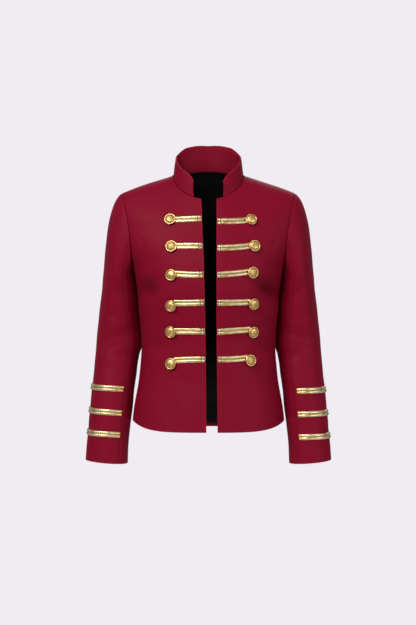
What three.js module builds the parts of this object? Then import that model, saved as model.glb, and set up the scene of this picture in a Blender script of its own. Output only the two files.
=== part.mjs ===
// Parade jacket: stand collar, two fronts, back, two-piece sleeves, back lining, domed buttons and
// flat two-ridged braid. Millimetres, +Z up, the front faces -Y, the wearer's left is +X.
// The origin is the middle of the neck base, level with the two points where neck and shoulder meet.
import * as THREE from 'three';

// ---- Driving dimensions ----

const SEAM_GAP = 0.3;
const BODY_WALL = 1.8;
const SLEEVE_WALL = 1.6;
const ROUNDNESS = 2.2; // exponent of the body's superellipse sections: 2 is an ellipse

// Body sections: half width, and depth in front of and behind the origin, at height z.
// Above the armpit the half width is that of the whole shoulder span, which the armholes cut short.
const BODY_SECTIONS = [
  { z: 60, halfWidth: 215, front: 46, back: 66 },
  { z: 14, halfWidth: 215, front: 55, back: 82 },
  { z: -25, halfWidth: 215, front: 64, back: 91 },
  { z: -50, halfWidth: 215, front: 73, back: 96 },
  { z: -90, halfWidth: 211, front: 89, back: 103 },
  { z: -130, halfWidth: 203, front: 103, back: 109 },
  { z: -171, halfWidth: 188, front: 118, back: 112 },
  { z: -205, halfWidth: 170, front: 127, back: 111 },
  { z: -250, halfWidth: 161.5, front: 131, back: 106 },
  { z: -310, halfWidth: 155.5, front: 122, back: 95 },
  { z: -385, halfWidth: 150.5, front: 108, back: 88 },
  { z: -452, halfWidth: 155.5, front: 108, back: 95 },
  { z: -524, halfWidth: 167.5, front: 114, back: 110 },
  { z: -600, halfWidth: 175.5, front: 120, back: 121 },
];

// Distance of each front edge from the middle: the wearer's right front swings towards it lower down.
const FRONT_EDGES = [
  { z: -52, left: 18.1, right: 16.6 },
  { z: -74, left: 17.9, right: 14.6 },
  { z: -128, left: 17.7, right: 13 },
  { z: -164, left: 17.6, right: 11.1 },
  { z: -236, left: 17.5, right: 8.9 },
  { z: -308, left: 17.5, right: 7.2 },
  { z: -380, left: 17.9, right: 6.1 },
  { z: -440, left: 18.8, right: 5.5 },
  { z: -506, left: 19.6, right: 5 },
  { z: -580, left: 20, right: 4.5 },
];

const HEM = { centre: -572, sideRise: 22, sharpness: 5 };
const NECK = { halfWidth: 79, frontDrop: 58, backRise: 14, backShape: 2.6 };

// Turns around the neck of the front's columns: its edge, the collar's end, then on to the shoulder,
// closer together where the neckline climbs.
const FRONT_NECK_TURNS = [12, 25, 45, 62, 75, 83, 90];
const COLLAR_END_TURN = FRONT_NECK_TURNS[1];
const SHOULDER = { width: 115, slope: 0.325, tipDrop: 3, neckY: 12, tipY: 5 };
// The shoulder line runs on inside the neck, where the neckline cuts the surface: its rise there is
// the shoulder's slope plus these amounts times the square and the cube of the way to the middle.
const INSIDE_NECK = { front: { square: 37.4, cube: 0 }, back: { square: 29.1, cube: -28.2 } };
// Height over which each face curves over to the shoulder line.
const SHOULDER_ROUNDING = { front: { atNeck: 130, atTip: 62 }, back: { atNeck: 75, atTip: 66 } };
const ARMHOLE = { bottomX: 170, flare: 24, flareShape: 1.2, scoop: 3, bottomZ: -205 };

const COLLAR = { wall: 3, cornerRadius: 18, sideLean: 0.089, depthLean: 0.07, leanHeight: 54, footGap: 0.65 };
// Collar's height at turns around the neck from the centre back to the front: it is lowest at the sides.
const COLLAR_HEIGHTS = [
  { turn: 180, height: 57 },
  { turn: 151, height: 59.5 },
  { turn: 136, height: 59.5 },
  { turn: 122, height: 55.5 },
  { turn: 109, height: 49.5 },
  { turn: 96, height: 45 },
  { turn: 84, height: 43 },
  { turn: 64, height: 44.5 },
  { turn: 45, height: 45.8 },
  { turn: 30, height: 44 },
];

// Sleeve rings below the armhole: outer and inner reach in X, half depth and middle in Y.
const SLEEVE_RINGS = [
  { z: -236, outer: 239, inner: 163.9, halfDepth: 64, middle: 19 },
  { z: -300, outer: 246, inner: 155.6, halfDepth: 58, middle: 26 },
  { z: -376, outer: 253.5, inner: 149.8, halfDepth: 52, middle: 28 },
  { z: -416, outer: 257, inner: 158.5, halfDepth: 49, middle: 23 },
  { z: -452, outer: 260, inner: 162.5, halfDepth: 47, middle: 17 },
  { z: -488, outer: 263.5, inner: 167.5, halfDepth: 45, middle: 11 },
  { z: -524, outer: 266.5, inner: 171, halfDepth: 44, middle: 6 },
  { z: -560, outer: 270, inner: 175.5, halfDepth: 43, middle: 2 },
  { z: -596, outer: 273, inner: 179, halfDepth: 42, middle: -1 },
  { z: -660, outer: 278, inner: 182, halfDepth: 42, middle: -4 },
];

// Turn of the sleeve's two long seams, in degrees from the outside of the arm, positive to the front.
const SLEEVE_SEAMS = [
  { z: -150, front: 107, back: -112.5 },
  { z: -246, front: 108, back: -113.5 },
  { z: -376, front: 121, back: -115 },
  { z: -640, front: 129, back: -118 },
];

const CAP = { rows: 5, reach: 0.59, topPitch: 31, bottomPitch: 95 };
const CUFF = { z: -643, outerRise: 4, frontDrop: 2, rows: 10 };

// Folds pressed into the cloth: place, half length, half width, tilt in degrees, and depth.
// "at" is X on the body and, on the sleeves, the turn times the sleeve's mean girth per degree.
const GIRTH_PER_DEGREE = 0.85;
const FRONT_FOLDS = {
  left: [
    { at: 134, z: -252, length: 38, width: 18, tilt: -24, depth: 5 },
    { at: 146, z: -300, length: 34, width: 14, tilt: 64, depth: -2 },
    { at: 118, z: -392, length: 36, width: 15, tilt: 14, depth: 2.6 },
    { at: 60, z: -186, length: 62, width: 18, tilt: 4, depth: 1.8 },
    { at: 92, z: -520, length: 46, width: 20, tilt: 78, depth: 2.2 },
  ],
  right: [
    { at: -136, z: -244, length: 32, width: 16, tilt: 26, depth: 5 },
    { at: -144, z: -292, length: 32, width: 14, tilt: -60, depth: -2 },
    { at: -122, z: -384, length: 34, width: 14, tilt: -12, depth: 2.8 },
    { at: -58, z: -128, length: 58, width: 18, tilt: -5, depth: 1.8 },
    { at: -86, z: -514, length: 50, width: 20, tilt: -80, depth: 2 },
  ],
};
const BACK_FOLDS = [
  { at: 92, z: -214, length: 48, width: 20, tilt: -58, depth: 4 },
  { at: -96, z: -206, length: 44, width: 20, tilt: 60, depth: 4.4 },
  { at: 52, z: -378, length: 50, width: 15, tilt: 10, depth: 3.2 },
  { at: -60, z: -392, length: 46, width: 16, tilt: -12, depth: 3.4 },
  { at: 4, z: -352, length: 40, width: 14, tilt: 3, depth: 2.4 },
  { at: 66, z: -520, length: 48, width: 22, tilt: 84, depth: 2.4 },
  { at: -58, z: -510, length: 52, width: 22, tilt: -82, depth: 2.2 },
];
const SLEEVE_FOLDS = [
  { at: 84, z: -262, length: 30, width: 16, tilt: -40, depth: 4 },
  { at: 78, z: -360, length: 30, width: 13, tilt: 16, depth: 3.4 },
  { at: 92, z: -404, length: 26, width: 12, tilt: -14, depth: 2.8 },
  { at: -86, z: -286, length: 30, width: 16, tilt: 36, depth: 3.6 },
  { at: -70, z: -392, length: 28, width: 15, tilt: -12, depth: 2.4 },
  { at: 26, z: -556, length: 30, width: 12, tilt: 38, depth: 1.6 },
];

const BUTTON = { rim: 12.4, shank: 3.5, lift: 0.6, rimHeight: 4.6, edge: 1.1, height: 9.8, sides: 12 };
const BRAID = { width: 14, lift: 0.9, height: 3.1, groove: 1.9, ridgeAt: 3.6, step: 6, shankRoom: 5.5 };
const CUFF_BRAID = { width: 13.5, endGap: 1.2 }; // the gap to the sleeve's seams is in degrees

// Chest rows: height of the button and of the braid's two ends, on each side.
const CHEST_ROWS = [
  { right: [-105, -104.5, -102.5], left: [-106, -105.5, -108.5] },
  { right: [-165, -163.5, -163.5], left: [-163.5, -162, -168] },
  { right: [-227, -224, -226.5], left: [-221.5, -219.5, -227] },
  { right: [-294, -288, -287], left: [-290, -286, -288] },
  { right: [-351, -350, -351], left: [-352, -346.5, -352] },
  { right: [-421.5, -414.5, -412], left: [-414.5, -408.5, -412] },
];
const BUTTON_X = { left: [93.5, 100, 95.5, 97, 97, 91], right: [-84, -80.5, -80.5, -81, -81.5, -81.5] };
const BRAID_EDGE_INSET = 1.5;

// The three braids on each sleeve: height on the outside of the arm and at the front end, and its turn.
const CUFF_ROWS = {
  left: [
    { outer: -481.5, inner: -484.6, end: 112 },
    { outer: -533, inner: -536.4, end: 116 },
    { outer: -584, inner: -587, end: 120 },
  ],
  right: [
    { outer: -475, inner: -480, end: 121 },
    { outer: -527, inner: -533.5, end: 124 },
    { outer: -576, inner: -582, end: 126 },
  ],
};

// Grid: columns over the neck and along the shoulder, rows below and beside the armhole.
const COLUMNS = { backNeck: 5, shoulder: 7 };
const ROWS = { belowArmhole: 11, besideArmhole: 8 };
const LINING = { wall: 1, sink: 2.3, hemMargin: 8, topMargin: 0.15 }; // topMargin is a share of a row

const CLOTH = new THREE.MeshStandardMaterial({ color: 0x7e1024, roughness: 0.55, metalness: 0 });
const LINING_CLOTH = new THREE.MeshStandardMaterial({ color: 0x0c0b0d, roughness: 0.5, metalness: 0 });
const BRAID_METAL = new THREE.MeshStandardMaterial({ color: 0xc9a25a, roughness: 0.4, metalness: 0.8 });
const BUTTON_METAL = new THREE.MeshStandardMaterial({ color: 0xd9a93a, roughness: 0.28, metalness: 1 });

// ---- Small helpers ----

const { lerp, clamp, degToRad } = THREE.MathUtils;
const vector = (x, y, z) => new THREE.Vector3(x, y, z);
const evenly = (count, from = 0, to = 1) =>
  Array.from({ length: count + 1 }, (_, i) => lerp(from, to, i / count));

// Cubic from a to b with end slopes da and db, over t from 0 to 1.
function hermite(a, da, b, db, t) {
  const s = 1 - t;
  return a * s * s * (1 + 2 * t) + da * t * s * s + b * t * t * (3 - 2 * t) - db * t * t * s;
}

// Smooth value of one column of a table whose rows run downwards in their key. It never overshoots the
// rows: a row's slope is the harmonic mean of its neighbours', or level where they turn.
function valueAt(table, column, at, key = 'z') {
  const last = table.length - 1;
  const below = table.findIndex((row) => row[key] <= at);
  const i = below < 0 ? last : Math.max(below, 1);
  const secant = (k) => (table[k + 1][column] - table[k][column]) / (table[k + 1][key] - table[k][key]);
  const slope = (k) => {
    if (k === 0 || k === last) return secant(k === 0 ? 0 : last - 1);
    const [before, after] = [secant(k - 1), secant(k)];
    return before * after > 0 ? (2 * before * after) / (before + after) : 0;
  };
  const [high, low] = [table[i - 1], table[i]];
  const drop = low[key] - high[key];
  const t = clamp((at - high[key]) / drop, 0, 1);
  return hermite(high[column], slope(i - 1) * drop, low[column], slope(i) * drop, t);
}

// Folds die out towards a panel's side seam, by this power of the way there, so that seams meet.
const SEAM_FADE = 8;
const seamFade = (share) => 1 - Math.abs(share) ** SEAM_FADE;

// Sum of the folds at a place, positive outwards. Each is a soft trough along its tilted length.
function foldHeight(folds, at, z) {
  return folds.reduce((sum, fold) => {
    const tilt = degToRad(fold.tilt);
    const along = (at - fold.at) * Math.cos(tilt) + (z - fold.z) * Math.sin(tilt);
    const over = (z - fold.z) * Math.cos(tilt) - (at - fold.at) * Math.sin(tilt);
    return sum - fold.depth * Math.exp(-((along / fold.length) ** 2) - (over / fold.width) ** 2);
  }, 0);
}

// ---- Body surface ----

const FACES = { front: -1, back: 1 };

// Turn around a section, 0 at the middle of the face and 90 degrees at the side, of a place x.
const turnOf = (x, halfWidth) => Math.asin(clamp(x / halfWidth, 0, 1) ** (ROUNDNESS / 2));

// Line where front and back meet at x: the shoulder seam, and its run inside the neck.
function shoulderAt(face, x) {
  const { atNeck, atTip } = SHOULDER_ROUNDING[face];
  if (x < NECK.halfWidth) {
    const inside = 1 - x / NECK.halfWidth;
    const { square, cube } = INSIDE_NECK[face];
    const z = SHOULDER.slope * NECK.halfWidth * inside + square * inside ** 2 + cube * inside ** 3;
    return { z, y: SHOULDER.neckY, rounding: atNeck };
  }
  const share = (x - NECK.halfWidth) / SHOULDER.width;
  return {
    z: -SHOULDER.slope * SHOULDER.width * share - SHOULDER.tipDrop * share ** 4,
    y: lerp(SHOULDER.neckY, SHOULDER.tipY, share),
    rounding: lerp(atNeck, atTip, share),
  };
}

// Depth of the body surface at (x, z): a superellipse section, rounded off towards the shoulder seam.
function bodyY(face, x, z) {
  const halfWidth = valueAt(BODY_SECTIONS, 'halfWidth', z);
  const side = Math.max(1 - Math.min(Math.abs(x) / halfWidth, 1) ** ROUNDNESS, 0);
  const section = FACES[face] * valueAt(BODY_SECTIONS, face, z) * side ** (1 / ROUNDNESS);
  const shoulder = shoulderAt(face, Math.abs(x));
  const rise = clamp(1 - (shoulder.z - z) / shoulder.rounding, 0, 1);
  return shoulder.y + (section - shoulder.y) * (1 - rise ** ROUNDNESS) ** (1 / ROUNDNESS);
}

// Height of the neckline at a turn around the neck, 0 at the centre front, 180 at the centre back.
function necklineZ(turn) {
  const c = Math.cos(degToRad(turn));
  return c > 0 ? -NECK.frontDrop * c : NECK.backRise * (-c) ** NECK.backShape;
}

function necklinePoint(turn) {
  const x = NECK.halfWidth * Math.sin(degToRad(turn));
  const z = necklineZ(turn);
  return vector(x, bodyY(Math.cos(degToRad(turn)) > 0 ? 'front' : 'back', x, z), z);
}

// Armhole at a turn, 0 at the shoulder and 180 degrees under the arm: x, z, and share of its height.
function armholeAt(turn) {
  const rise = (1 + Math.cos(degToRad(turn))) / 2;
  const flare = ARMHOLE.flare * rise ** ARMHOLE.flareShape;
  const x = ARMHOLE.bottomX + flare - ARMHOLE.scoop * Math.sin(degToRad(turn)) ** 2;
  const tipZ = shoulderAt('front', NECK.halfWidth + SHOULDER.width).z;
  return { x, z: lerp(ARMHOLE.bottomZ, tipZ, rise), rise };
}

// Turns of the neckline at the panel columns: the back goes from its centre to the shoulder.
const NECK_TURNS = { front: FRONT_NECK_TURNS, back: evenly(COLUMNS.backNeck, 180, 90) };

// Top of a panel at column u: its x and height, on the neckline or on the shoulder seam.
function topAt(face, u) {
  const turns = NECK_TURNS[face];
  const neckColumns = turns.length - 1;
  if (u <= neckColumns) {
    const i = Math.min(Math.floor(u), neckColumns - 1);
    const turn = lerp(turns[i], turns[i + 1], u - i);
    return { x: NECK.halfWidth * Math.sin(degToRad(turn)), z: necklineZ(turn) };
  }
  const x = NECK.halfWidth + SHOULDER.width * ((u - neckColumns) / COLUMNS.shoulder);
  return { x, z: shoulderAt(face, x).z };
}

const frontEdgeX = (side, z) => valueAt(FRONT_EDGES, side, Math.min(z, FRONT_EDGES[0].z));

// Point of a body panel at column u and row v, on the side of the wearer's left or right.
// Columns share out the turn between the panel's inner edge and its side seam or armhole.
function bodyPoint(face, side, u, v) {
  const turnAtTop = (column) => turnOf(topAt(face, column).x, BODY_SECTIONS[0].halfWidth);
  const lastColumn = NECK_TURNS[face].length - 1 + COLUMNS.shoulder;
  const innerTurn = (z) => (face === 'front'
    ? turnOf(frontEdgeX(side, z), valueAt(BODY_SECTIONS, 'halfWidth', z)) : 0);
  const share = (turnAtTop(u) - innerTurn(0)) / (turnAtTop(lastColumn) - innerTurn(0));
  let z;
  let outerTurn = Math.PI / 2;
  if (v <= ROWS.belowArmhole) {
    const hemTurn = lerp(innerTurn(HEM.centre), outerTurn, share);
    const hemZ = HEM.centre + HEM.sideRise * Math.sin(hemTurn) ** HEM.sharpness;
    z = lerp(hemZ, ARMHOLE.bottomZ, v / ROWS.belowArmhole);
  } else {
    const armhole = armholeAt(180 * (1 - (v - ROWS.belowArmhole) / ROWS.besideArmhole));
    outerTurn = turnOf(armhole.x, valueAt(BODY_SECTIONS, 'halfWidth', armhole.z));
    z = lerp(ARMHOLE.bottomZ, topAt(face, u).z, armhole.rise);
  }
  const turn = lerp(innerTurn(z), outerTurn, share);
  const x = valueAt(BODY_SECTIONS, 'halfWidth', z) * Math.sin(turn) ** (2 / ROUNDNESS);
  return vector(side === 'left' ? x : -x, bodyY(face, x, z), z);
}

const bodyCentre = (point) => vector(0, 10, Math.min(point.z, -150));

// ---- Sleeve surface ----

// Point of a sleeve ring at height z and a turn in degrees from the outside of the arm to the front.
function ringPoint(turn, z) {
  const [outer, inner] = ['outer', 'inner'].map((column) => valueAt(SLEEVE_RINGS, column, z));
  const halfDepth = valueAt(SLEEVE_RINGS, 'halfDepth', z);
  const middle = valueAt(SLEEVE_RINGS, 'middle', z);
  const angle = degToRad(turn);
  return vector((outer + inner) / 2 + ((outer - inner) / 2) * Math.cos(angle),
    middle - halfDepth * Math.sin(angle), z);
}

// Seam end on the armhole, a seam gap away from the body.
function sleeveStart(turn, direction) {
  const wrapped = Math.abs(((turn + 540) % 360) - 180);
  const { x, z } = armholeAt(wrapped);
  const face = Math.sin(degToRad(turn)) > 0 ? 'front' : 'back';
  return vector(x + SEAM_GAP, bodyY(face, x, z), z).addScaledVector(direction, SEAM_GAP);
}

// Sleeve of the wearer's left at a turn and row v. The cap rows leave the armhole outwards and bend
// down into the first ring; the rows below run to the cuff.
function sleevePoint(turn, v) {
  const top = SLEEVE_RINGS[0].z;
  if (v > CAP.rows) {
    const angle = degToRad(turn);
    const cuffZ = CUFF.z + CUFF.outerRise * Math.cos(angle) - CUFF.frontDrop * Math.sin(angle);
    return ringPoint(turn, lerp(top, cuffZ, (v - CAP.rows) / CUFF.rows));
  }
  const sink = (1 - Math.cos(degToRad(turn))) / 2;
  const pitch = degToRad(lerp(CAP.topPitch, CAP.bottomPitch, sink));
  const leaving = vector(Math.cos(pitch), 0, -Math.sin(pitch));
  const start = sleeveStart(turn, leaving);
  const end = ringPoint(turn, top);
  const length = start.distanceTo(end);
  const arriving = ringPoint(turn, top - 1).sub(end).normalize().multiplyScalar(length);
  leaving.multiplyScalar(length * CAP.reach);
  const t = v / CAP.rows;
  const mix = (axis) => hermite(start[axis], leaving[axis], end[axis], arriving[axis], t);
  return vector(mix('x'), mix('y'), mix('z'));
}

const seamTurn = (seam, z) => valueAt(SLEEVE_SEAMS, seam, clamp(z, -640, -150));

// Turn at share u across a sleeve piece, at row v.
function sleeveTurn(piece, u, v) {
  const z = v <= CAP.rows ? SLEEVE_SEAMS[0].z : lerp(SLEEVE_RINGS[0].z, CUFF.z, (v - CAP.rows) / CUFF.rows);
  const front = seamTurn('front', z);
  const back = seamTurn('back', z);
  return piece === 'top' ? lerp(back, front, u) : lerp(front, back + 360, u);
}

function sleeveCentre(point) {
  const z = Math.min(point.z, SLEEVE_RINGS[0].z);
  const x = (valueAt(SLEEVE_RINGS, 'outer', z) + valueAt(SLEEVE_RINGS, 'inner', z)) / 2;
  return vector(x * Math.sign(point.x), valueAt(SLEEVE_RINGS, 'middle', z), Math.min(point.z, -150));
}

// ---- Shells ----

// Outward unit normal of the surface pointAt at (u, v), away from the piece's centre.
function normalAt(pointAt, centreOf, u, v, across, up) {
  const step = 1e-3;
  const [u0, u1] = [Math.max(u - step, across[0]), Math.min(u + step, across.at(-1))];
  const [v0, v1] = [Math.max(v - step, up[0]), Math.min(v + step, up.at(-1))];
  const alongU = pointAt(u1, v).sub(pointAt(u0, v));
  const alongV = pointAt(u, v1).sub(pointAt(u, v0));
  const normal = alongU.cross(alongV).normalize();
  const point = pointAt(u, v);
  return normal.dot(point.clone().sub(centreOf(point))) < 0 ? normal.negate() : normal;
}

// Volume enclosed by triangles, positive when they face outwards.
function signedVolume(points, triangles) {
  return triangles.reduce((sum, [a, b, c]) =>
    sum + points[a].dot(points[b].clone().cross(points[c])) / 6, 0);
}

function closedGeometry(points, triangles) {
  const outward = signedVolume(points, triangles) > 0;
  const index = triangles.flatMap(([a, b, c]) => (outward ? [a, b, c] : [a, c, b]));
  const geometry = new THREE.BufferGeometry();
  const positions = new THREE.Float32BufferAttribute(points.flatMap((point) => point.toArray()), 3);
  geometry.setAttribute('position', positions);
  geometry.setIndex(index);
  geometry.computeVertexNormals();
  return geometry;
}

// Draws in the edge columns and rows of a grid, to leave seam gaps.
function trimGrid(layers, width, height, trim) {
  const at = (i, j) => j * width + i;
  const pull = (edge, inner, amount) => {
    const step = layers[0][inner].clone().sub(layers[0][edge]).setLength(amount);
    layers.forEach((layer) => layer[edge].add(step));
  };
  for (let j = 0; j < height; j += 1) {
    if (trim.start) pull(at(0, j), at(1, j), trim.start);
    if (trim.end) pull(at(width - 1, j), at(width - 2, j), trim.end);
  }
  for (let i = 0; i < width; i += 1) {
    if (trim.bottom) pull(at(i, 0), at(i, 1), trim.bottom);
    if (trim.top) pull(at(i, height - 1), at(i, height - 2), trim.top);
  }
}

// A wall of cloth: an outer grid on the surface, an inner grid a wall's thickness inside it, and a
// rim round the edge. "across" and "up" are the grid's places on the surface, "relief" its folds,
// "sink" how far it lies inside the surface, and "adjustInward" may bend the way to the inner grid.
function clothWall(piece) {
  const { name, material, pointAt, centreOf, across, up, wall, sink = 0, trim = {} } = piece;
  const { relief = () => 0, adjustInward = () => {} } = piece;
  const outer = [];
  const inner = [];
  for (const v of up) {
    for (const u of across) {
      const normal = normalAt(pointAt, centreOf, u, v, across, up);
      const point = pointAt(u, v);
      point.addScaledVector(normal, relief(u, v, point) - sink);
      const inward = normal.clone().multiplyScalar(-wall);
      adjustInward(inward, v);
      outer.push(point);
      inner.push(point.clone().add(inward));
    }
  }
  const width = across.length;
  const height = up.length;
  trimGrid([outer, inner], width, height, trim);
  const at = (i, j) => j * width + i;
  const offset = outer.length;
  const triangles = [];
  const quad = (a, b, c, d) => triangles.push([a, b, c], [a, c, d]);
  for (let j = 0; j < height - 1; j += 1) {
    for (let i = 0; i < width - 1; i += 1) {
      const [a, b, c, d] = [at(i, j), at(i + 1, j), at(i + 1, j + 1), at(i, j + 1)];
      quad(a, b, c, d);
      triangles.push([a + offset, c + offset, b + offset], [a + offset, d + offset, c + offset]);
    }
  }
  const rim = (a, b) => quad(b, a, a + offset, b + offset);
  for (let i = 0; i < width - 1; i += 1) {
    rim(at(i, 0), at(i + 1, 0));
    rim(at(i + 1, height - 1), at(i, height - 1));
  }
  for (let j = 0; j < height - 1; j += 1) {
    rim(at(width - 1, j), at(width - 1, j + 1));
    rim(at(0, j + 1), at(0, j));
  }
  const mesh = new THREE.Mesh(closedGeometry([...outer, ...inner], triangles), material);
  mesh.name = name;
  mesh.updateMatrixWorld();
  return mesh;
}

// ---- Body pieces ----

const BODY_ROWS = evenly(ROWS.belowArmhole + ROWS.besideArmhole, 0, ROWS.belowArmhole + ROWS.besideArmhole);
const SIDE_TRIM = SEAM_GAP / 2;

function frontPanel(side) {
  const columns = FRONT_NECK_TURNS.length - 1 + COLUMNS.shoulder;
  return clothWall({
    name: `front_${side}`,
    material: CLOTH,
    pointAt: (u, v) => bodyPoint('front', side, u, v),
    centreOf: bodyCentre,
    relief: (u, v, point) => foldHeight(FRONT_FOLDS[side], point.x, point.z) * seamFade(u / columns),
    across: evenly(columns, 0, columns),
    up: BODY_ROWS,
    wall: BODY_WALL,
    trim: { end: SIDE_TRIM, top: SIDE_TRIM },
  });
}

const BACK_HALF = COLUMNS.backNeck + COLUMNS.shoulder;
const backPoint = (u, v) => bodyPoint('back', u < 0 ? 'right' : 'left', Math.abs(u), v);
const backRelief = (u, v, point) => foldHeight(BACK_FOLDS, point.x, point.z) * seamFade(u / BACK_HALF);

function backPanel() {
  return clothWall({
    name: 'back',
    material: CLOTH,
    pointAt: backPoint,
    centreOf: bodyCentre,
    relief: backRelief,
    across: evenly(2 * BACK_HALF, -BACK_HALF, BACK_HALF),
    up: BODY_ROWS,
    wall: BODY_WALL,
    trim: { start: SIDE_TRIM, end: SIDE_TRIM, top: SIDE_TRIM },
  });
}

// Lining of the back, on the panel's own columns and rows so that the two walls stay parallel.
function backLining() {
  const hemShare = LINING.hemMargin / (ARMHOLE.bottomZ - HEM.centre);
  const [nextRow, topRow] = BODY_ROWS.slice(-2);
  const straightTop = (u, v) => (v <= nextRow ? backPoint(u, v)
    : backPoint(u, nextRow).lerp(backPoint(u, topRow), v - nextRow));
  return clothWall({
    name: 'lining_back',
    material: LINING_CLOTH,
    pointAt: straightTop,
    centreOf: bodyCentre,
    relief: backRelief,
    across: evenly(2 * BACK_HALF - 2, 1 - BACK_HALF, BACK_HALF - 1),
    up: [hemShare * ROWS.belowArmhole, ...BODY_ROWS.slice(1, -1), topRow - LINING.topMargin],
    wall: LINING.wall,
    sink: LINING.sink,
  });
}

// ---- Collar ----

// Foot of the collar at a turn of 25 to 335 degrees, on the straight stretches between the columns
// of the body panels, just above them.
function collarFoot(turn) {
  const half = turn > 180 ? 360 - turn : turn;
  const knots = [...NECK_TURNS.front.slice(1), ...NECK_TURNS.back.slice(0, -1).reverse()];
  const i = clamp(knots.findIndex((knot) => knot >= half), 1, knots.length - 1);
  const share = (half - knots[i - 1]) / (knots[i] - knots[i - 1]);
  const foot = necklinePoint(knots[i - 1]).lerp(necklinePoint(knots[i]), share);
  foot.z += COLLAR.footGap;
  if (turn > 180) foot.x = -foot.x;
  return foot;
}

// Height of the collar at a turn: from the table, less a quarter circle at each front end.
function collarHeight(turn) {
  const end = turn > 180 ? 360 - COLLAR_END_TURN : COLLAR_END_TURN;
  const reach = collarFoot(turn).distanceTo(collarFoot(end));
  const short = Math.max(COLLAR.cornerRadius - reach, 0);
  const height = valueAt(COLLAR_HEIGHTS, 'height', turn > 180 ? 360 - turn : turn, 'turn');
  return height - COLLAR.cornerRadius + Math.sqrt(COLLAR.cornerRadius ** 2 - short ** 2);
}

function collarPoint(turn, v) {
  const foot = collarFoot(turn);
  const rise = collarHeight(turn) * v;
  const lean = rise / COLLAR.leanHeight;
  const x = foot.x * (1 - COLLAR.sideLean * lean);
  return vector(x, foot.y * (1 - COLLAR.depthLean * lean), foot.z + rise);
}

function collar() {
  const knots = [...NECK_TURNS.front.slice(1), ...evenly(2 * COLUMNS.backNeck, 90, 270).slice(1),
    ...NECK_TURNS.front.slice(1, -1).reverse().map((turn) => 360 - turn)];
  const corner = [1.5, 5, 10].map((turn) => COLLAR_END_TURN + turn);
  const across = [knots[0], ...corner, ...knots.slice(1, -1),
    ...corner.reverse().map((turn) => 360 - turn), knots.at(-1)];
  return clothWall({
    name: 'collar',
    material: CLOTH,
    pointAt: collarPoint,
    centreOf: (point) => vector(0, -5, point.z),
    across,
    up: evenly(4),
    wall: COLLAR.wall,
    adjustInward: (inward) => inward.setZ(0),
  });
}

// ---- Sleeves ----

function sleevePiece(side, piece) {
  const mirror = side === 'left' ? 1 : -1;
  const foldsAt = (turn, z) => foldHeight(SLEEVE_FOLDS, turn * GIRTH_PER_DEGREE, z)
    + foldHeight(SLEEVE_FOLDS, (turn - 360) * GIRTH_PER_DEGREE, z); // a fold may cross the back seam
  return clothWall({
    name: `sleeve_${side}_${piece}`,
    material: CLOTH,
    pointAt: (u, v) => {
      const point = sleevePoint(sleeveTurn(piece, u, v), v);
      point.x *= mirror;
      return point;
    },
    centreOf: sleeveCentre,
    relief: (u, v, point) => foldsAt(sleeveTurn(piece, u, v), point.z),
    across: evenly(piece === 'top' ? 10 : 6),
    up: evenly(CAP.rows + CUFF.rows, 0, CAP.rows + CUFF.rows),
    wall: SLEEVE_WALL,
    trim: { start: SIDE_TRIM, end: SIDE_TRIM },
    adjustInward: (inward, v) => {
      if (v === 0 && inward.x * mirror < 0) inward.setX(0); // stays clear of the body at the armhole
    },
  });
}

// ---- Braid and buttons ----

const ray = new THREE.Raycaster();

// Where a line from a point outside, along a direction, first meets a piece of cloth.
function touch(mesh, from, direction) {
  ray.set(from, direction);
  const hit = ray.intersectObject(mesh)[0];
  if (!hit) throw new Error(`nothing of ${mesh.name} at ${from.toArray()}`);
  return hit.point;
}

const frontTouch = (mesh, x, z) => touch(mesh, vector(x, -400, z), vector(0, 1, 0));

// Outward normal of the smooth front surface at (x, z).
function frontNormal(x, z) {
  const step = 4;
  const slopeX = (bodyY('front', x + step, z) - bodyY('front', x - step, z)) / (2 * step);
  const slopeZ = (bodyY('front', x, z + step) - bodyY('front', x, z - step)) / (2 * step);
  return vector(slopeX, -1, slopeZ).normalize();
}

// A strip of braid with two ridges and a groove between them, carried along stations.
// place(station, offset) gives the cloth point, a distance across the strip, and its outward normal.
function braidStrip(name, stations, width, place) {
  const half = width / 2;
  const profile = [
    { across: -half, lift: BRAID.lift },
    { across: -BRAID.ridgeAt, lift: BRAID.height },
    { across: 0, lift: BRAID.groove },
    { across: BRAID.ridgeAt, lift: BRAID.height },
    { across: half, lift: BRAID.lift },
  ];
  const points = stations.flatMap((station) => profile.map(({ across, lift }) => {
    const { point, normal } = place(station, across);
    return point.addScaledVector(normal, lift);
  }));
  const sides = profile.length;
  const triangles = [];
  for (let s = 0; s < stations.length - 1; s += 1) {
    for (let k = 0; k < sides; k += 1) {
      const [a, b] = [s * sides + k, s * sides + ((k + 1) % sides)];
      triangles.push([a, b, b + sides], [a, b + sides, a + sides]);
    }
  }
  const last = (stations.length - 1) * sides;
  for (const [a, b, c] of [[0, 1, 2], [0, 2, 4], [2, 3, 4]]) {
    triangles.push([a, c, b], [last + a, last + b, last + c]);
  }
  const mesh = new THREE.Mesh(closedGeometry(points, triangles), BRAID_METAL);
  mesh.name = name;
  return mesh;
}

function chestBraid(front, side, row) {
  const sign = side === 'left' ? 1 : -1;
  const [, outerZ, innerZ] = CHEST_ROWS[row][side];
  const outerX = Math.abs(BUTTON_X[side][row]) - BRAID.shankRoom;
  const innerX = frontEdgeX(side, innerZ) + BRAID_EDGE_INSET;
  const steps = Math.ceil((outerX - innerX) / BRAID.step);
  return braidStrip(`braid_${side}_${row + 1}`, evenly(steps), BRAID.width, (share, across) => {
    const x = sign * lerp(outerX, innerX, share);
    const z = lerp(outerZ, innerZ, share);
    return { point: frontTouch(front, x, z + across), normal: frontNormal(x, z) };
  });
}

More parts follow.
